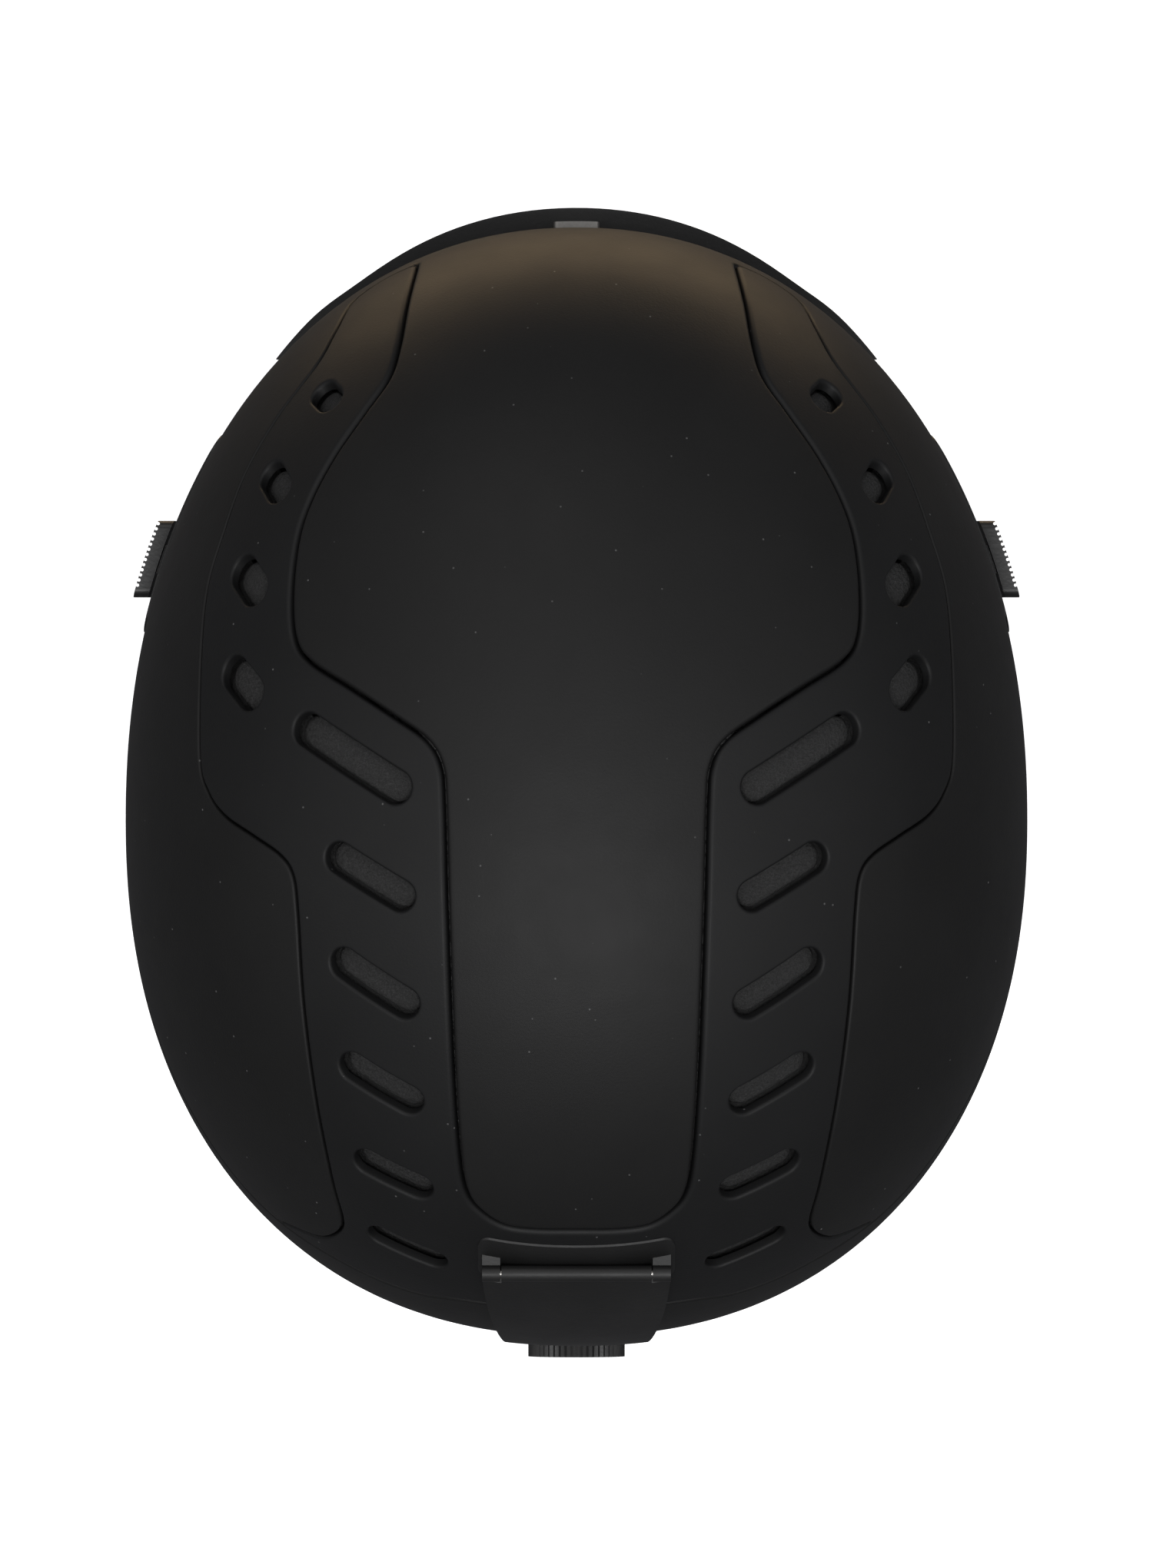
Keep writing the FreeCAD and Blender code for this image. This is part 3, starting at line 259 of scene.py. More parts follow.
FLAT_SCALE = 110.0
RING_STEPS = (0.1, 0.3, 0.55, 0.8, 1.0, 1.5)
GRID_STEP = 3.4
GRID_ROW_SPREAD = 1.15
GRID_ROW_SHARE = 0.87


def flattened(points):
    """Shell points laid out round straight up: distance from the middle is the angle."""
    directions = unit(points)
    angle = np.arccos(np.clip(directions[:, 2], -1, 1))
    across = np.hypot(directions[:, 0], directions[:, 1])
    across = np.where(across < 1e-12, 1, across)
    return directions[:, :2] * (angle / across)[:, None] * FLAT_SCALE


def unflattened(flat):
    angle = np.hypot(flat[:, 0], flat[:, 1]) / FLAT_SCALE
    safe = np.where(angle < 1e-9, 1, angle)
    scale = np.where(angle < 1e-9, 1, np.sin(safe) / safe) / FLAT_SCALE
    return np.column_stack([flat[:, 0] * scale, flat[:, 1] * scale, np.cos(angle)])


def inside(flat, loops):
    """True for the places that lie inside the outline and outside its holes."""
    crossings = np.zeros(len(flat), int)
    x = flat[:, 0][:, None]
    y = flat[:, 1][:, None]
    for loop in loops:
        a = loop
        b = np.roll(loop, -1, axis=0)
        spans = (a[:, 1] > y) != (b[:, 1] > y)
        rise = np.where(np.abs(b[:, 1] - a[:, 1]) < 1e-12, 1e-12, b[:, 1] - a[:, 1])
        meets = a[:, 0] + (y - a[:, 1]) / rise * (b[:, 0] - a[:, 0])
        crossings += np.sum(spans & (x < meets), axis=1)
    return crossings % 2 == 1


def closed_area(flat):
    b = np.roll(flat, -1, axis=0)
    return np.sum(flat[:, 0] * b[:, 1] - b[:, 0] * flat[:, 1])


def inward_offset(loop, distance, hole):
    """Loop on the shell moved towards the panel's material by distances in mm."""
    ahead = np.roll(loop, -1, axis=0)
    behind = np.roll(loop, 1, axis=0)
    side = np.cross(normals(loop), unit(ahead - behind))
    turn = 1 if closed_area(flattened(loop)) > 0 else -1
    if hole:
        turn = -turn
    return on_shell(loop + side * turn * np.asarray(distance)[..., None])


def make_panel(name, loops, material):
    """Closed shell panel. Each loop is (points, rounding radius per point, gap, is a hole)."""
    outlines = []
    samples = []
    radii = []
    rings = []
    for points, radius, gap, hole in loops:
        edge = inward_offset(points, np.full(len(points), gap), hole)
        radius = np.broadcast_to(radius, len(edge)).astype(float)
        outlines.append(edge)
        for i in range(4):
            t = i / 4
            samples.append(edge * (1 - t) + np.roll(edge, -1, axis=0) * t)
            radii.append(radius * (1 - t) + np.roll(radius, -1) * t)
        for step in RING_STEPS:
            rings.append((inward_offset(edge, radius * step, hole), radius * step))
    samples = np.concatenate(samples)
    radii = np.concatenate(radii)
    tree = kdtree.KDTree(len(samples))
    for i, p in enumerate(samples):
        tree.insert(p, i)
    tree.balance()
    flat_loops = [flattened(edge) for edge in outlines]

    kept = []
    for ring, wanted in rings:
        inner = inside(flattened(ring), flat_loops)
        for p, want, ok in zip(ring, wanted, inner):
            if ok and tree.find(p)[2] > 0.9 * want:
                kept.append(p)
    reach = max(np.abs(np.concatenate(flat_loops)).max(), 1)
    count = int(reach / GRID_STEP) + 1
    steps = np.arange(-count, count + 1) * GRID_STEP
    grid = np.array([(a + (j % 2) * GRID_STEP / 2, b * GRID_ROW_SHARE)
                     for j, b in enumerate(steps * GRID_ROW_SPREAD) for a in steps])
    grid = grid[inside(grid, flat_loops)]
    grid_points = on_shell(unflattened(grid))
    for p in grid_points:
        _, index, away = tree.find(p)
        if away > 1.5 * radii[index] + 1.0:
            kept.append(p)
    edge_points = np.concatenate(outlines)
    points = np.concatenate([edge_points, np.array(kept)])
    edges = []
    start = 0
    for edge in outlines:
        n = len(edge)
        edges += [(start + i, start + (i + 1) % n) for i in range(n)]
        start += n
    flat = flattened(points)
    found = delaunay_2d_cdt([Vector(p) for p in flat], edges, [], 0, 1e-6)
    out_flat = np.array([tuple(p) for p in found[0]])
    faces = np.array([tuple(f) for f in found[2]])
    middles = out_flat[faces].mean(axis=1)
    faces = faces[inside(middles, flat_loops)]
    directions = unit(unflattened(out_flat))
    shell = on_shell(directions)
    inset = np.zeros(len(shell))
    for i, p in enumerate(shell):
        _, index, away = tree.find(p)
        radius = radii[index]
        if away < radius:
            short = 1 - away / radius
            inset[i] = radius * (1 - math.sqrt(max(1 - short * short, 0)))
    outer = on_shell(directions, inset)
    inner = on_shell(directions, SHELL_THICKNESS)
    return closed_sheet(name, outer, inner, faces, material)


def closed_sheet(name, outer, inner, faces, material):
    """Mesh with two skins and a wall along every open edge."""
    n = len(outer)
    a, b, c = (outer[faces[:, i]] for i in range(3))
    facing = np.einsum("ij,ij->i", np.cross(b - a, c - a), a)
    faces = np.where((facing > 0)[:, None], faces, faces[:, ::-1])
    skins = [tuple(f) for f in faces] + [tuple(n + f[::-1]) for f in faces]
    directed = set()
    for f in faces:
        for i in range(3):
            directed.add((f[i], f[(i + 1) % 3]))
    for p, q in list(directed):
        if (q, p) not in directed:
            skins.append((q, p, n + p, n + q))
    return make_mesh(name, np.concatenate([outer, inner]), skins, material)


def make_mesh(name, points, faces, material, sharp=50.0):
    mesh = bpy.data.meshes.new(name)
    mesh.from_pydata([tuple(p) for p in np.asarray(points) * MM], [], faces)
    work = bmesh.new()
    work.from_mesh(mesh)
    loose = [v for v in work.verts if not v.link_faces]
    bmesh.ops.delete(work, geom=loose, context="VERTS")
    bmesh.ops.recalc_face_normals(work, faces=work.faces)
    work.to_mesh(mesh)
    work.free()
    mesh.shade_smooth()
    mesh.set_sharp_from_angle(angle=math.radians(sharp))
    piece = bpy.data.objects.new(name, mesh)
    bpy.context.scene.collection.objects.link(piece)
    if material:
        mesh.materials.append(material)
    return piece


# ---------------------------------------------------------------- materials


class Finish:
    """A node material that starts from the object's own coordinates, in metres."""

    def __init__(self, name, roughness=0.5, metallic=0.0, uv=False):
        self.material = bpy.data.materials.new(name)
        self.material.use_nodes = True
        self.nodes = self.material.node_tree.nodes
        self.links = self.material.node_tree.links
        self.shader = self.nodes["Principled BSDF"]
        self.shader.inputs["Roughness"].default_value = roughness
        self.shader.inputs["Metallic"].default_value = metallic
        where = self.nodes.new("ShaderNodeTexCoord")
        self.place = where.outputs["UV" if uv else "Object"]
        self.height = None

    def noise(self, scale, detail=3.0, rough=0.55):
        node = self.nodes.new("ShaderNodeTexNoise")
        node.inputs["Scale"].default_value = scale
        node.inputs["Detail"].default_value = detail
        node.inputs["Roughness"].default_value = rough
        self.links.new(self.place, node.inputs["Vector"])
        return node.outputs["Fac"]

    def cells(self, scale, feature="F1", randomness=1.0):
        node = self.nodes.new("ShaderNodeTexVoronoi")
        node.feature = feature
        node.inputs["Scale"].default_value = scale
        node.inputs["Randomness"].default_value = randomness
        self.links.new(self.place, node.inputs["Vector"])
        return node.outputs["Distance"]

    def waves(self, scale, direction):
        node = self.nodes.new("ShaderNodeTexWave")
        node.bands_direction = direction
        node.inputs["Scale"].default_value = scale
        self.links.new(self.place, node.inputs["Vector"])
        return node.outputs["Fac"]

    def ramp(self, source, stops):
        node = self.nodes.new("ShaderNodeValToRGB")
        elements = node.color_ramp.elements
        while len(elements) < len(stops):
            elements.new(0.5)
        for element, (place, colour) in zip(elements, stops):
            element.position = place
            element.color = (*colour, 1)
        self.links.new(source, node.inputs["Fac"])
        return node.outputs["Color"]

    def combine(self, a, b, how, amount=1.0):
        node = self.nodes.new("ShaderNodeMix")
        node.data_type = "RGBA"
        node.blend_type = how
        node.inputs["Factor"].default_value = amount
        self.links.new(a, node.inputs["A"])
        self.links.new(b, node.inputs["B"])
        return node.outputs["Result"]

    def colour(self, source):
        self.links.new(source, self.shader.inputs["Base Color"])

    def roughness(self, source, low, high):
        node = self.nodes.new("ShaderNodeMapRange")
        node.inputs["To Min"].default_value = low
        node.inputs["To Max"].default_value = high
        self.links.new(source, node.inputs["Value"])
        self.links.new(node.outputs["Result"], self.shader.inputs["Roughness"])

    def bump(self, source, depth):
        """Adds relief of this depth, in millimetres."""
        node = self.nodes.new("ShaderNodeBump")
        node.inputs["Distance"].default_value = depth * MM
        self.links.new(source, node.inputs["Height"])
        if self.height is not None:
            self.links.new(self.height, node.inputs["Normal"])
        self.height = node.outputs["Normal"]
        self.links.new(self.height, self.shader.inputs["Normal"])


def grey(value, blue=0.0):
    return (value * (1 - blue / 2), value, value * (1 + blue))


def soft_touch(name, dark, light, blue=0.0, roughness=(0.5, 0.6)):
    """Matte coated plastic: cloudy colour, fine grain and a few dust specks."""
    finish = Finish(name)
    cloud = finish.noise(28, 5)
    base = finish.ramp(cloud, [(0.3, grey(dark, blue)), (0.7, grey(light, blue))])
    speck = finish.ramp(
        finish.cells(165), [(0.0, grey(0.22)), (0.035, grey(0.10)), (0.05, (0, 0, 0))]
    )
    finish.colour(finish.combine(base, speck, "ADD", 0.55))
    finish.roughness(finish.noise(90, 6), *roughness)
    finish.bump(finish.noise(1500, 2), 0.035)
    finish.bump(finish.noise(60, 2), 0.03)
    finish.shader.inputs["Specular IOR Level"].default_value = 0.3
    return finish.material


def moulded(name, dark, light, roughness=(0.38, 0.5), grain=0.05, tint=(1, 1, 1)):
    """Moulded plastic or rubber with a fine spark-eroded grain."""
    finish = Finish(name)
    low = tuple(dark * t for t in tint)
    high = tuple(light * t for t in tint)
    finish.colour(finish.ramp(finish.noise(45, 4), [(0.3, low), (0.72, high)]))
    finish.roughness(finish.noise(160, 5), *roughness)
    finish.bump(finish.noise(1100, 3), grain)
    return finish.material


def beaded_foam(name):
    """Expanded foam: beads about three millimetres across, pressed together."""
    finish = Finish(name)
    borders = finish.cells(330, "DISTANCE_TO_EDGE")
    seams = finish.ramp(borders, [(0.0, grey(0.006)), (0.09, grey(0.022)), (0.5, grey(0.034))])
    cloud = finish.ramp(finish.noise(60, 4), [(0.3, grey(0.7)), (0.7, grey(1.0))])
    finish.colour(finish.combine(seams, cloud, "MULTIPLY"))
    finish.roughness(finish.noise(300, 4), 0.5, 0.7)
    finish.bump(finish.ramp(borders, [(0.0, grey(0)), (0.16, grey(1))]), 0.25)
    finish.bump(finish.noise(1800, 3), 0.05)
    return finish.material


def grainy_foam(name, dark, light):
    """Open-cell foam: a speckled, sparkling grain."""
    finish = Finish(name)
    grain = finish.noise(2400, 4, 0.8)
    finish.colour(finish.ramp(grain, [(0.34, grey(dark)), (0.55, grey(light * 0.5)),
                                      (0.68, grey(light))]))
    finish.roughness(finish.noise(700, 4), 0.42, 0.75)
    finish.bump(grain, 0.35)
    finish.bump(finish.cells(900), 0.2)
    return finish.material


def woven(name, dark, light, pitch=1.1, sheen=0.35, fuzz=0.12):
    """Knitted liner cloth: an open mesh of small cells and a little fuzz."""
    finish = Finish(name, 0.85)
    ribs = finish.cells(1000 / pitch, "F1", 0.3)
    threads = finish.ramp(ribs, [(0.15, grey(dark)), (0.6, grey(light))])
    cloud = finish.ramp(finish.noise(70, 5), [(0.3, grey(0.72)), (0.7, grey(1.0))])
    finish.colour(finish.combine(threads, cloud, "MULTIPLY"))
    finish.roughness(finish.noise(400, 4), 0.8, 0.95)
    finish.bump(ribs, 0.22)
    finish.bump(finish.noise(2600, 4), fuzz)
    finish.shader.inputs["Sheen Weight"].default_value = sheen
    return finish.material


def pile(name, dark, light):
    """Brushed fleece: short tufts in every direction."""
    finish = Finish(name, 0.95)
    tufts = finish.noise(900, 8, 0.75)
    clumps = finish.cells(260)
    base = finish.ramp(tufts, [(0.35, grey(dark)), (0.7, grey(light))])
    shade = finish.ramp(clumps, [(0.0, grey(1.0)), (0.8, grey(0.6))])
    finish.colour(finish.combine(base, shade, "MULTIPLY"))
    finish.roughness(tufts, 0.85, 1.0)
    finish.bump(tufts, 0.6)
    finish.bump(clumps, 0.5)
    finish.shader.inputs["Sheen Weight"].default_value = 0.6
    return finish.material


def webbed(name, dark, light):
    """Flat woven webbing. Its map runs across and along the strap, in millimetres."""
    finish = Finish(name, 0.7, uv=True)
    weft = finish.waves(0.42, "X")
    warp = finish.waves(0.75, "Y")
    twill = finish.waves(0.5, "DIAGONAL")
    ribs = finish.combine(finish.combine(weft, warp, "MULTIPLY"), twill, "ADD", 0.35)
    finish.colour(finish.ramp(ribs, [(0.0, grey(dark)), (0.8, grey(light))]))
    finish.roughness(finish.noise(3, 4), 0.62, 0.82)
    finish.bump(ribs, 0.25)
    finish.shader.inputs["Sheen Weight"].default_value = 0.2
    return finish.material


def brushed_metal(name, level, roughness=(0.22, 0.4), tint=(1, 0.97, 0.92)):
    finish = Finish(name, metallic=1.0)
    streaks = finish.noise(500, 6, 0.7)
    low = tuple(level * 0.8 * t for t in tint)
    high = tuple(level * t for t in tint)
    finish.colour(finish.ramp(streaks, [(0.35, low), (0.65, high)]))
    finish.roughness(streaks, *roughness)
    finish.bump(finish.noise(1600, 3), 0.01)
    return finish.material


COAT = soft_touch("shell_coat", 0.0060, 0.0080)
CROWN_COAT = soft_touch("vent_panel_coat", 0.0056, 0.0074, blue=0.05)
LOWER_COAT = soft_touch("lower_shell_coat", 0.0056, 0.0074)
VISOR = moulded("visor_plastic", 0.006, 0.009, (0.45, 0.55))
BADGE = brushed_metal("badge_metal", 0.34, (0.3, 0.5))
TRIM = moulded("trim_rubber", 0.008, 0.012, (0.55, 0.7), 0.08)
FOAM = beaded_foam("impact_foam")
SLIDER = moulded("slider_plastic", 0.012, 0.017, (0.32, 0.45))
SHUTTER = grainy_foam("shutter_foam", 0.004, 0.02)
VENT_PAD = grainy_foam("vent_pad_foam", 0.006, 0.055)
CLIP = moulded("clip_plastic", 0.006, 0.009, (0.46, 0.56))
PIN = brushed_metal("pin_steel", 0.55)
DIAL = moulded("dial_plastic", 0.012, 0.018, (0.35, 0.5))
BAND = moulded("band_nylon", 0.010, 0.016, (0.3, 0.42))
LINER = woven("liner_fabric", 0.010, 0.045)
EAR = woven("ear_fabric", 0.012, 0.055, pitch=1.6)
WEBBING = webbed("webbing", 0.006, 0.04)
BUCKLE = moulded("buckle_plastic", 0.011, 0.016, (0.33, 0.48))
RIVET = brushed_metal("rivet_steel", 0.5)
FLEECE = pile("chin_fleece", 0.012, 0.06)
KEEPER = moulded("keeper_rubber", 0.008, 0.012, (0.5, 0.65))
THREAD = woven("stitch_thread", 0.03, 0.07, pitch=0.5, sheen=0.2)

# ---------------------------------------------------------------- shell panels

SPACING = 1.1
left_crown = resampled(plan_points(smooth(CROWN_EDGE)), SPACING)
left_wing = resampled(plan_points(smooth(WING_EDGE)), SPACING)
JOIN_FORE = -98.4
BEYOND_FRONT = 150.0
BEYOND_REAR = -135.0
seam_front = resampled(level_line(LOWER_SEAM, JOIN_FORE, BEYOND_FRONT), SPACING)
seam_rear = resampled(level_line(LOWER_SEAM, BEYOND_REAR, JOIN_FORE), SPACING)


def closed_loop(rows_and_radii):
    """Joins runs of (points, radius) into one closed loop, dropping repeated ends."""
    points = []
    radii = []
    for rows, radius in rows_and_radii:
        points.append(rows[:-1])
        radii.append(np.full(len(rows) - 1, radius))
    return np.concatenate(points), np.concatenate(radii)


EDGE_ROUND = 0.7
GROOVE_ROUND = 1.25
VENT_ROUND = 0.8

points, radii = closed_loop([
    (seam_front[::-1], EDGE_ROUND), (left_wing[::-1], EDGE_ROUND),
    (left_crown, GROOVE_ROUND), (other_side(left_crown)[::-1], GROOVE_ROUND),
    (other_side(left_wing), EDGE_ROUND), (other_side(seam_front), EDGE_ROUND),
])
upper = make_panel("upper_shell_skin", [(points, radii, SEAM_HALF_GAP, False)], COAT)
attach(upper, "helmet")
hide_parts("upper_shell")

points, radii = closed_loop([
    (left_crown[::-1], GROOVE_ROUND), (left_wing, EDGE_ROUND), (seam_rear[::-1], EDGE_ROUND),
    (other_side(seam_rear), EDGE_ROUND), (other_side(left_wing)[::-1], EDGE_ROUND),
    (other_side(left_crown), GROOVE_ROUND),
])
loops = [(points, radii, SEAM_HALF_GAP, False)]
for first, second, width in VENTS:
    rim = stadium(first, second, width)
    loops.append((rim, VENT_ROUND, 0.0, True))
    loops.append((other_side(rim), VENT_ROUND, 0.0, True))
vents = make_panel("vent_panel_skin", loops, CROWN_COAT)
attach(vents, "helmet")
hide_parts("vent_shell")

NOTCH_HALF = 18.5
NOTCH_TOP = -24.0
NOTCH_BEND = NOTCH_HALF * 0.55
NOTCH_FORE = -112.8
NOTCH_STEPS = 12
seam_all = level_line(LOWER_SEAM, BEYOND_REAR, LOWER_SHELL_FORE)
rim_left = level_line(RIM, NOTCH_FORE, LOWER_SHELL_FORE)
notch_foot = rim_left[0, 2]
notch = [(NOTCH_HALF, notch_foot + (NOTCH_TOP - NOTCH_BEND - notch_foot) * i / NOTCH_STEPS)
         for i in range(NOTCH_STEPS + 1)]
notch += [(NOTCH_HALF - NOTCH_BEND * (1 - math.cos(a)),
           NOTCH_TOP - NOTCH_BEND * (1 - math.sin(a)))
          for a in np.linspace(0.1, math.pi / 2, 10)]
notch += [(0.0, NOTCH_TOP)]
notch = resampled(rear_points(notch), SPACING)
rim_left[0] = notch[0]
end_levels = np.linspace(seam_all[-1, 2], rim_left[-1, 2], 12)
front_end = np.concatenate([
    level_line([(-200.0, z), (200.0, z)], LOWER_SHELL_FORE - 1, LOWER_SHELL_FORE)[-1:]
    for z in end_levels
])
front_end[0] = seam_all[-1]
front_end[-1] = rim_left[-1]
left_runs = [
    (resampled(seam_all, SPACING), EDGE_ROUND), (resampled(front_end, SPACING), EDGE_ROUND),
    (resampled(rim_left, SPACING)[::-1], EDGE_ROUND), (notch, EDGE_ROUND),
]
right_runs = [(other_side(rows)[::-1], radius) for rows, radius in left_runs[::-1]]
points, radii = closed_loop(left_runs + right_runs)

# the slider's track sits in a rounded pocket at each temple
KNOB_LEVEL = -15.2
TRACK_FORE = (46.0, 94.6)
TRACK_HALF = 6.4
POCKET_LAP = 0.2
POCKET_EDGE_ROUND = 0.5
CORNER_STEPS = 8
corner = TRACK_HALF * 0.8
pocket = []
for fore_edge, out, level_sign in ((TRACK_FORE[1], 1, 1), (TRACK_FORE[1], 1, -1),
                                   (TRACK_FORE[0], -1, -1), (TRACK_FORE[0], -1, 1)):
    for i in range(CORNER_STEPS + 1):
        a = math.pi / 2 * (i / CORNER_STEPS)
        if out == level_sign:
            a = math.pi / 2 - a
        pocket.append((
            fore_edge + out * (POCKET_LAP - corner + corner * math.cos(a)),
            KNOB_LEVEL + level_sign * (TRACK_HALF - corner + corner * math.sin(a)),
        ))
pocket_rows = []
for fore, level in pocket + pocket[:1]:
    pocket_rows.append(level_line([(-200.0, level), (200.0, level)], fore - 1, fore)[-1])
pocket_loop = resampled(np.array(pocket_rows), SPACING)[:-1]
lower = make_panel(
    "lower_shell_skin",
    [(points, radii, SEAM_HALF_GAP, False), (pocket_loop, POCKET_EDGE_ROUND, 0.0, True),
     (other_side(pocket_loop), POCKET_EDGE_ROUND, 0.0, True)],
    LOWER_COAT,
)
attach(lower, "helmet")
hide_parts("lower_shell")

# ---------------------------------------------------------------- vent pads

PAD_FLOOR = 4.2
PAD_RISE = 1.25
PAD_MARGIN = 0.15
PAD_SHIFT = (0.1, 0.35)


def pillow(first, second, width, mirror):
    """Domed foam pad that shows through one vent, as points and faces."""
    outline = stadium(first, second, width - 2 * PAD_MARGIN, PAD_SHIFT)
    if mirror:
        outline = other_side(outline)
    middle = outline.mean(axis=0)
    shares = (1.0, 1.0, 0.975, 0.93, 0.85, 0.65, 0.35)
    rises = (-0.5, 0.2, 0.6, 0.83, 0.95, 1.0, 1.0)
    rows = []
    for share, rise in zip(shares, rises):
        ring = middle + (outline - middle) * share
        rows.append(on_shell(ring, PAD_FLOOR - PAD_RISE * rise))
    rows.append(on_shell(middle[None], PAD_FLOOR - PAD_RISE))
    n = len(outline)
    faces = []
    for k in range(len(shares) - 1):
        for i in range(n):
            j = (i + 1) % n
            faces.append((k * n + i, k * n + j, (k + 1) * n + j, (k + 1) * n + i))
    last = (len(shares) - 1) * n
    faces += [(last + i, last + (i + 1) % n, len(shares) * n) for i in range(n)]
    faces.append(tuple(range(n))[::-1])
    return np.concatenate(rows), faces


for side_name, mirror in (("left", False), ("right", True)):
    for bank, group in (("front", VENTS[:FRONT_VENT_COUNT]), ("rear", VENTS[FRONT_VENT_COUNT:])):
        all_rows = []
        all_faces = []
        start = 0
        for first, second, width in group:
            rows, faces = pillow(first, second, width, mirror)
            all_rows.append(rows)
            all_faces += [tuple(start + i for i in f) for f in faces]
            start += len(rows)
        pads = make_mesh(f"vent_pads_{bank}_{side_name}", np.concatenate(all_rows),
                         all_faces, VENT_PAD)
        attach(pads, f"{bank}_vents_{side_name}")

# ---------------------------------------------------------------- straps

WEB_PLANE = 94.3
WEB_WIDTH = 15.0
WEB_THICKNESS = 1.5
PIVOT_FORE = -4.0
PIVOT_LEVEL = -104.0
ANCHOR_OVERRUN = 6.6
STITCH_BOX_LOW = 17
STITCH_BOX_HIGH = 27
STITCH_BOX_HALF = 5.2


def strap(name, path, across, width, thickness, material, round_start=False):
    """Woven ribbon along a path: rounded edges, thicker selvedges and a strap map in mm."""
    path = np.asarray(path, float)
    ahead = np.vstack([path[1:], path[-1:]])
    behind = np.vstack([path[:1], path[:-1]])
    along = unit(ahead - behind)
    across = np.asarray(across, float)
    up = unit(np.cross(along, across))
    half = width / 2
    section = []
    columns = 16
    for i in range(columns + 1):
        a = -half + width * i / columns
        lip = math.sqrt(max(1 - (abs(a) / half) ** 10, 0))
        selvedge = 0.86 + 0.14 * math.exp(-((half - abs(a) - 1.3) / 0.8) ** 2)
        section.append((a, thickness / 2 * max(lip, 0.35) * selvedge))
    loop = section + [(a, -h) for a, h in section[::-1]]
    n = len(loop)
    distance = np.concatenate([[0], np.cumsum(np.linalg.norm(np.diff(path, axis=0), axis=1))])
    rows = []
    for p, u, s in zip(path, up, distance):
        narrow = 1.0
        if round_start and s < half:
            narrow = max(math.sqrt(1 - (1 - s / half) ** 2), 0.25)
        for a, h in loop:
            rows.append(p + across * a * narrow + u * h)
    faces = []
    for k in range(len(path) - 1):
        for i in range(n):
            j = (i + 1) % n
            faces.append((k * n + i, k * n + j, (k + 1) * n + j, (k + 1) * n + i))
    faces.append(tuple(range(n))[::-1])
    faces.append(tuple(range((len(path) - 1) * n, len(path) * n)))
    piece = make_mesh(name, rows, faces, material, 60)
    layer = piece.data.uv_layers.new(name="strap")
    for corner in piece.data.loops:
        k, i = divmod(corner.vertex_index, n)
        layer.data[corner.index].uv = (loop[i][0], distance[k])
    return piece


def stitch_rows(name, starts_and_ends, outward_step, pitch=2.2):
    """Rows of raised thread stitches between pairs of points."""
    rows = []
    faces = []
    for start, end in starts_and_ends:
        start = np.asarray(start, float)
        end = np.asarray(end, float)
        run = np.linalg.norm(end - start)
        along = (end - start) / run
        up = np.asarray(outward_step, float)
        side_way = np.cross(up, along)
        for k in range(int(run / pitch)):
            middle = start + along * pitch * (k + 0.5)
            first = len(rows)
            for t, size in ((-1.0, 0.3), (-0.7, 0.9), (0.0, 1.0), (0.7, 0.9), (1.0, 0.3)):
                for a in range(6):
                    turn = math.pi * a / 3
                    rows.append(middle + along * t * pitch * 0.36
                                + (side_way * math.cos(turn) + up * math.sin(turn)) * 0.22 * size)
            for r in range(4):
                for a in range(6):
                    b = (a + 1) % 6
                    faces.append((first + r * 6 + a, first + r * 6 + b,
                                  first + r * 6 + 6 + b, first + r * 6 + 6 + a))
            faces.append(tuple(first + a for a in range(6))[::-1])
            faces.append(tuple(first + 24 + a for a in range(6)))
    return make_mesh(name, rows, faces, THREAD)


ANCHORS = {"front": ((46.0, -27.0), (9.0, -92.0)), "rear": ((-48.0, -23.0), (-17.0, -92.0))}
for bank, (anchor, foot) in ANCHORS.items():
    run = math.hypot(anchor[0] - foot[0], anchor[1] - foot[1])
    along = ((foot[0] - anchor[0]) / run, (foot[1] - anchor[1]) / run)
    top = (anchor[0] - along[0] * ANCHOR_OVERRUN, anchor[1] - along[1] * ANCHOR_OVERRUN)
    for side_name, sign in (("left", 1), ("right", -1)):
        start = np.array([sign * WEB_PLANE, -top[0], top[1]])
        end = np.array([sign * WEB_PLANE, -foot[0], foot[1]])
        path = np.linspace(start, end, 90)
        direction = (end - start) / np.linalg.norm(end - start)
        across = np.cross([1.0, 0, 0], direction)
        piece = strap(f"web_{bank}_{side_name}", path, across, WEB_WIDTH - 0.3,
                      WEB_THICKNESS, WEBBING)
        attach(piece, "helmet")
        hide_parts(f"{bank}_strap_{side_name}")

        # a box of stitches holds the folded end above the divider
        face = np.array([sign * (WEB_THICKNESS / 2 + 0.02), 0, 0])
        low = end - direction * STITCH_BOX_LOW + face
        high = end - direction * STITCH_BOX_HIGH + face
        wide = across * STITCH_BOX_HALF
        corners = [low + wide, low - wide, high - wide, high + wide]
        lines = list(zip(corners, corners[1:] + corners[:1])) + [(corners[0], corners[2])]
        thread = stitch_rows(f"stitches_{bank}_{side_name}", lines, [sign, 0, 0])
        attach(thread, "helmet")


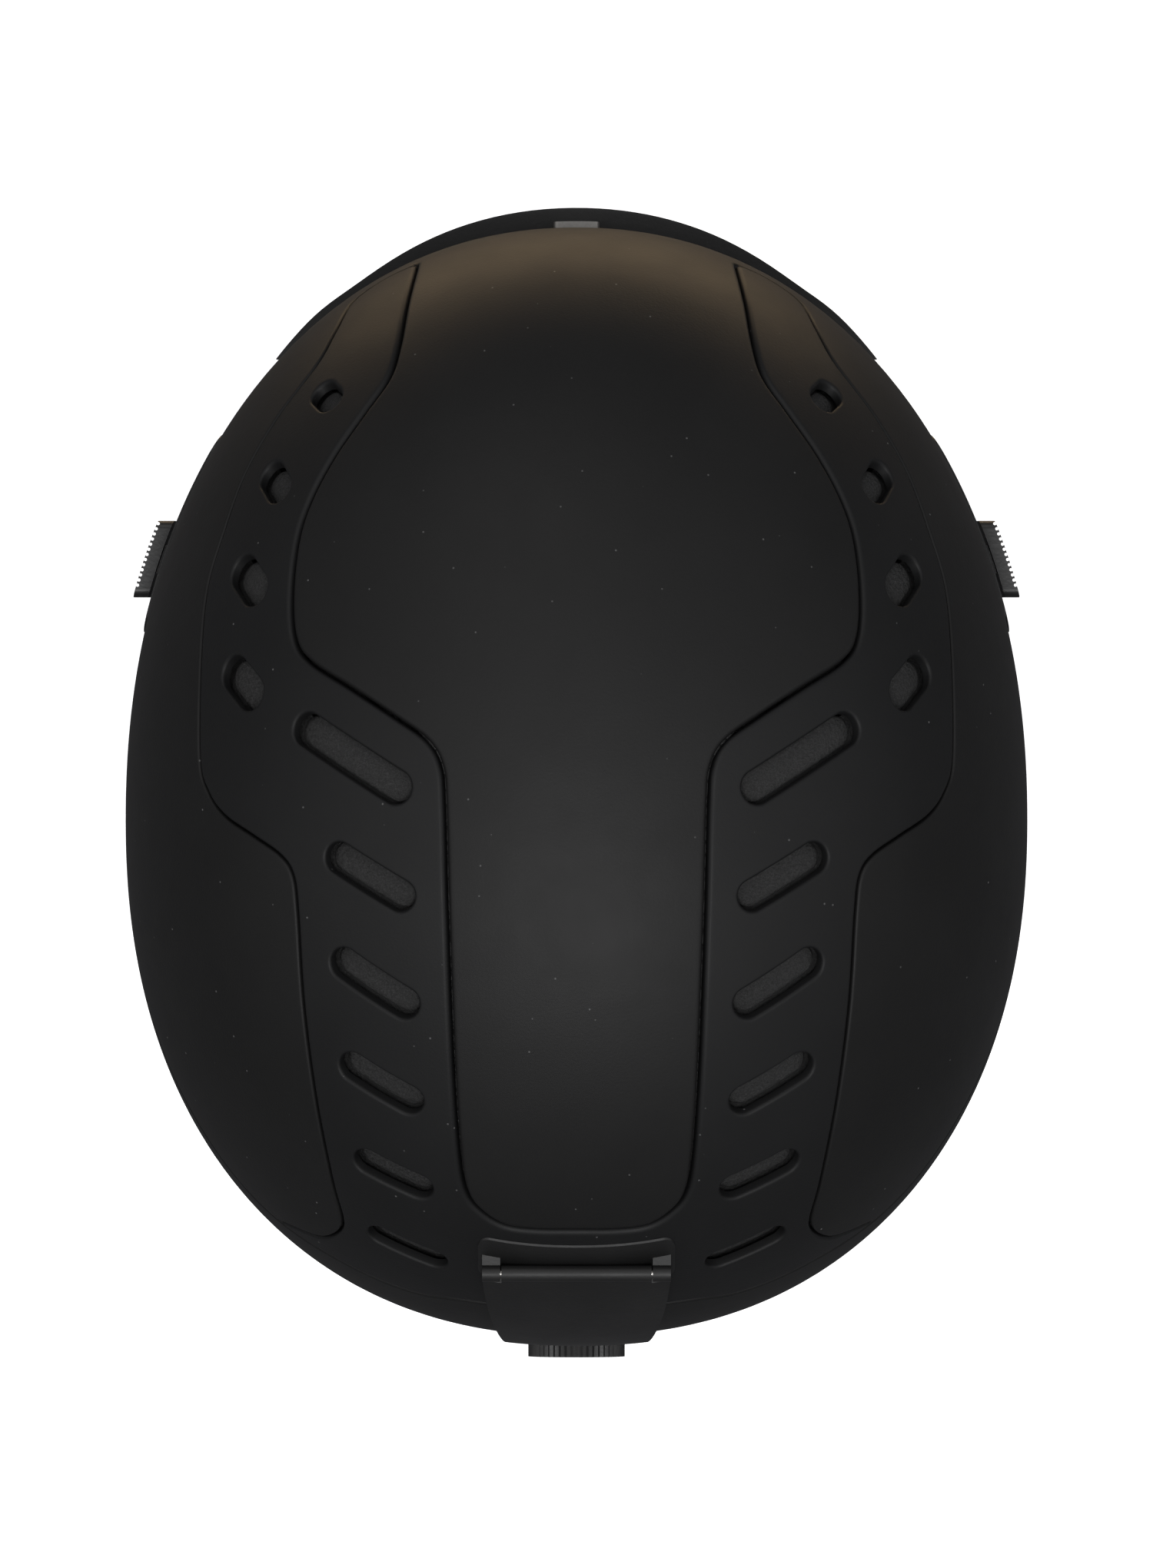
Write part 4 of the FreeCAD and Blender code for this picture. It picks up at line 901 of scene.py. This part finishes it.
def bent_path(corners, radii, step=1.4):
    """Straight runs joined by arcs, in the (x, z) plane, as points."""
    points = [np.array(corners[0], float)]
    for before, corner, after, radius in zip(corners, corners[1:], corners[2:], radii):
        corner = np.array(corner, float)
        a = np.array(before) - corner
        b = np.array(after) - corner
        a = a / np.linalg.norm(a)
        b = b / np.linalg.norm(b)
        half_angle = math.acos(np.clip(a.dot(b), -1, 1)) / 2
        start = corner + a * radius / math.tan(half_angle)
        end = corner + b * radius / math.tan(half_angle)
        centre = corner + (a + b) / np.linalg.norm(a + b) * radius / math.sin(half_angle)
        first = math.atan2(*(start - centre)[::-1])
        last = math.atan2(*(end - centre)[::-1])
        sweep = (last - first + math.pi) % (2 * math.pi) - math.pi
        for t in np.linspace(0, 1, 24):
            angle = first + sweep * t
            points.append(centre + radius * np.array([math.cos(angle), math.sin(angle)]))
    points.append(np.array(corners[-1], float))
    rows = np.array([(x, -PIVOT_FORE, z) for x, z in points])
    return resampled(rows, step)


CHIN_LEVEL = -184.0
for side_name, sign, stop in (("left", 1, 34.2), ("right", -1, 7.8)):
    corners = [(WEB_PLANE, PIVOT_LEVEL + WEB_WIDTH / 2), (WEB_PLANE, -124.0), (57.0, CHIN_LEVEL),
               (stop, CHIN_LEVEL)]
    path = bent_path(corners, (40.0, 24.0))
    path[:, 0] *= sign
    piece = strap(f"chin_web_{side_name}", path, [0, 1, 0], WEB_WIDTH - 0.3, WEB_THICKNESS,
                  WEBBING, round_start=True)
    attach(piece, "chin")
    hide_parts(f"chin_strap_{side_name}")

# ---------------------------------------------------------------- padded pieces

SIM_FRAMES = 20
PAD_PRESSURE = 4.0
PAD_SHRINK = 0.35


def pad_from(node, name, material, body, voxel, cap):
    """Stuffed piece from a CAD pad: drawn in a little, remeshed, then swollen as cloth."""
    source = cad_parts[node]
    mesh = source.data.copy()
    piece = bpy.data.objects.new(name, mesh)
    bpy.context.scene.collection.objects.link(piece)
    piece.matrix_world = source.matrix_world.copy()
    mesh.materials.clear()
    mesh.materials.append(material)
    work = bmesh.new()
    work.from_mesh(mesh)
    bmesh.ops.remove_doubles(work, verts=work.verts, dist=1e-6)
    work.normal_update()
    for v in work.verts:
        v.co -= v.normal * PAD_SHRINK * MM
    work.to_mesh(mesh)
    work.free()
    remesh = piece.modifiers.new("remesh", "REMESH")
    remesh.mode = "VOXEL"
    remesh.voxel_size = voxel * MM
    remesh.use_smooth_shade = True
    apply_modifiers(piece)
    start = np.empty(len(piece.data.vertices) * 3)
    piece.data.vertices.foreach_get("co", start)
    cloth = piece.modifiers.new("cloth", "CLOTH")
    cloth.settings.use_pressure = True
    cloth.settings.uniform_pressure_force = PAD_PRESSURE
    cloth.settings.effector_weights.gravity = 0
    cloth.settings.quality = 4
    cloth.point_cache.frame_end = SIM_FRAMES
    for number in range(1, SIM_FRAMES + 1):
        bpy.context.scene.frame_set(number)
    apply_modifiers(piece)
    bpy.context.scene.frame_set(1)
    ended = np.empty(len(start))
    piece.data.vertices.foreach_get("co", ended)
    move = (ended - start).reshape(-1, 3)
    length = np.linalg.norm(move, axis=1)[:, None]
    move = move * np.minimum(1, cap * MM / np.maximum(length, 1e-9))
    piece.data.vertices.foreach_set("co", start + move.ravel())
    ease = piece.modifiers.new("ease", "SMOOTH")
    ease.iterations = 3
    ease.factor = 0.5
    finer = piece.modifiers.new("finer", "SUBSURF")
    finer.levels = 1
    finer.render_levels = 1
    apply_modifiers(piece)
    piece.data.shade_smooth()
    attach(piece, body)
    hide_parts(node)


def apply_modifiers(piece):
    """Turns the piece's evaluated shape into its own mesh."""
    graph = bpy.context.evaluated_depsgraph_get()
    made = bpy.data.meshes.new_from_object(piece.evaluated_get(graph))
    old = piece.data
    piece.modifiers.clear()
    piece.data = made
    bpy.data.meshes.remove(old)


for node, body, slot_name, material, voxel, cap, fill in (
    ("brow_pad", "helmet", "liner_fabric", LINER, 2.2, 0.6, 0.7),
    ("crown_pad", "helmet", "liner_fabric", LINER, 2.2, 0.6, 0.7),
    ("side_pad_left", "helmet", "liner_fabric", LINER, 2.2, 0.6, 0.7),
    ("side_pad_right", "helmet", "liner_fabric", LINER, 2.2, 0.6, 0.7),
    ("rear_pad", "helmet", "liner_fabric", LINER, 2.2, 0.6, 0.7),
    ("nape_pad", "helmet", "liner_fabric", LINER, 2.0, 0.6, 0.75),
    ("ear_pad_left", "helmet", "ear_fabric", EAR, 2.5, 1.2, 0.8),
    ("ear_pad_right", "helmet", "ear_fabric", EAR, 2.5, 1.2, 0.8),
    ("chin_pad", "chin", "chin_fleece", FLEECE, 2.0, 0.8, 0.8),
):
    pad_from(node, node + "_soft", material, body, voxel, cap)

# ---------------------------------------------------------------- carried-over hard parts

CARRIED = {
    "front_visor": VISOR, "front_badge": BADGE, "edge_trim": TRIM, "eps_liner": FOAM,
    "slider_track": SLIDER, "vent_slider": SLIDER, "front_shutter": SHUTTER,
    "rear_shutter": SHUTTER, "goggle_clip_base": CLIP, "goggle_clip": CLIP,
    "clip_hinge_pin": PIN, "fit_dial": DIAL, "dial_shaft": DIAL, "dial_housing": DIAL,
    "retention_band": BAND, "strap_divider": BUCKLE, "strap_anchors": RIVET,
    "buckle": BUCKLE, "strap_keeper": KEEPER,
}
for name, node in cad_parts.items():
    found = [key for key in CARRIED if name.startswith(key)]
    if not found or node.hide_render:
        continue
    material = CARRIED[max(found, key=len)]
    node.data.materials.clear()
    node.data.materials.append(material)

# ---------------------------------------------------------------- stage, light and camera


def floor_material():
    finish = Finish("floor_white", 0.9)
    finish.colour(finish.ramp(finish.noise(3, 2), [(0.3, (0.93, 0.93, 0.93)),
                                                   (0.7, (0.95, 0.95, 0.95))]))
    finish.shader.inputs["Emission Color"].default_value = (1, 1, 1, 1)
    finish.shader.inputs["Emission Strength"].default_value = 0.75
    # seen from below, the floor is clear, so that the underside can be looked at
    clear = finish.nodes.new("ShaderNodeBsdfTransparent")
    facing = finish.nodes.new("ShaderNodeNewGeometry")
    either = finish.nodes.new("ShaderNodeMixShader")
    finish.links.new(facing.outputs["Backfacing"], either.inputs["Fac"])
    finish.links.new(finish.shader.outputs["BSDF"], either.inputs[1])
    finish.links.new(clear.outputs["BSDF"], either.inputs[2])
    finish.links.new(either.outputs["Shader"], finish.nodes["Material Output"].inputs["Surface"])
    return finish.material


floor = bpy.data.meshes.new("floor")
FLOOR_HALF = 60.0
FLOOR_LEVEL = cad_box[0][2] - 0.002
floor.from_pydata(
    [(-FLOOR_HALF, -FLOOR_HALF, FLOOR_LEVEL), (FLOOR_HALF, -FLOOR_HALF, FLOOR_LEVEL),
     (FLOOR_HALF, FLOOR_HALF, FLOOR_LEVEL), (-FLOOR_HALF, FLOOR_HALF, FLOOR_LEVEL)],
    [], [(0, 1, 2, 3)],
)
floor.materials.append(floor_material())
floor_piece = bpy.data.objects.new("floor", floor)
bpy.context.scene.collection.objects.link(floor_piece)
floor_piece.visible_glossy = False


def area_light(name, place, target, size, power, colour):
    data = bpy.data.lights.new(name, "AREA")
    data.shape = "RECTANGLE"
    data.size, data.size_y = size
    data.energy = power
    data.color = colour
    lamp = bpy.data.objects.new(name, data)
    lamp.location = place
    aim = Vector(target) - Vector(place)
    lamp.rotation_euler = aim.to_track_quat("-Z", "Y").to_euler()
    bpy.context.scene.collection.objects.link(lamp)


area_light("overhead", (0.0, 0.6, 2.2), (0, 0.05, 0), (0.5, 0.7), 16, (1, 1, 1))
area_light("key_front", (0.5, -1.9, 2.0), (0, 0, 0), (1.0, 0.6), 5, (1, 0.97, 0.94))
area_light("side_right", (-2.0, 0.2, 1.6), (0, 0, 0), (0.7, 1.4), 3.5, (1, 0.98, 0.96))
area_light("side_left", (2.0, 0.2, 1.6), (0, 0, 0), (0.7, 1.4), 3.5, (1, 0.98, 0.96))
area_light("low_front", (0.0, -0.36, -0.178), (0, -0.14, 0.0), (0.5, 0.06), 0.45,
           (1, 0.72, 0.42))

world = bpy.data.worlds.new("studio")
world.use_nodes = True
sky = world.node_tree
place = sky.nodes.new("ShaderNodeTexCoord")
split = sky.nodes.new("ShaderNodeSeparateXYZ")
fade = sky.nodes.new("ShaderNodeValToRGB")
fade.color_ramp.elements[0].position = 0.0
fade.color_ramp.elements[0].color = (0.10, 0.10, 0.105, 1)
fade.color_ramp.elements[1].position = 1.0
fade.color_ramp.elements[1].color = (0.62, 0.62, 0.63, 1)
sky.links.new(place.outputs["Generated"], split.inputs["Vector"])
sky.links.new(split.outputs["Z"], fade.inputs["Fac"])
sky.links.new(fade.outputs["Color"], sky.nodes["Background"].inputs["Color"])
sky.nodes["Background"].inputs["Strength"].default_value = 1.0
bpy.context.scene.world = world
bpy.context.scene.view_settings.view_transform = "Standard"

CAMERA_DISTANCE = 6.0
VIEW_CENTRE_Y = -0.0085
VIEW_HEIGHT = 0.3861
SENSOR = 36.0
lens = bpy.data.cameras.new("camera")
lens.sensor_width = SENSOR
lens.lens = SENSOR * CAMERA_DISTANCE / VIEW_HEIGHT
lens.clip_end = 50
camera = bpy.data.objects.new("camera", lens)
camera.location = (0, VIEW_CENTRE_Y, CAMERA_DISTANCE)
camera.rotation_euler = (0, 0, math.pi)
bpy.context.scene.collection.objects.link(camera)
bpy.context.scene.camera = camera
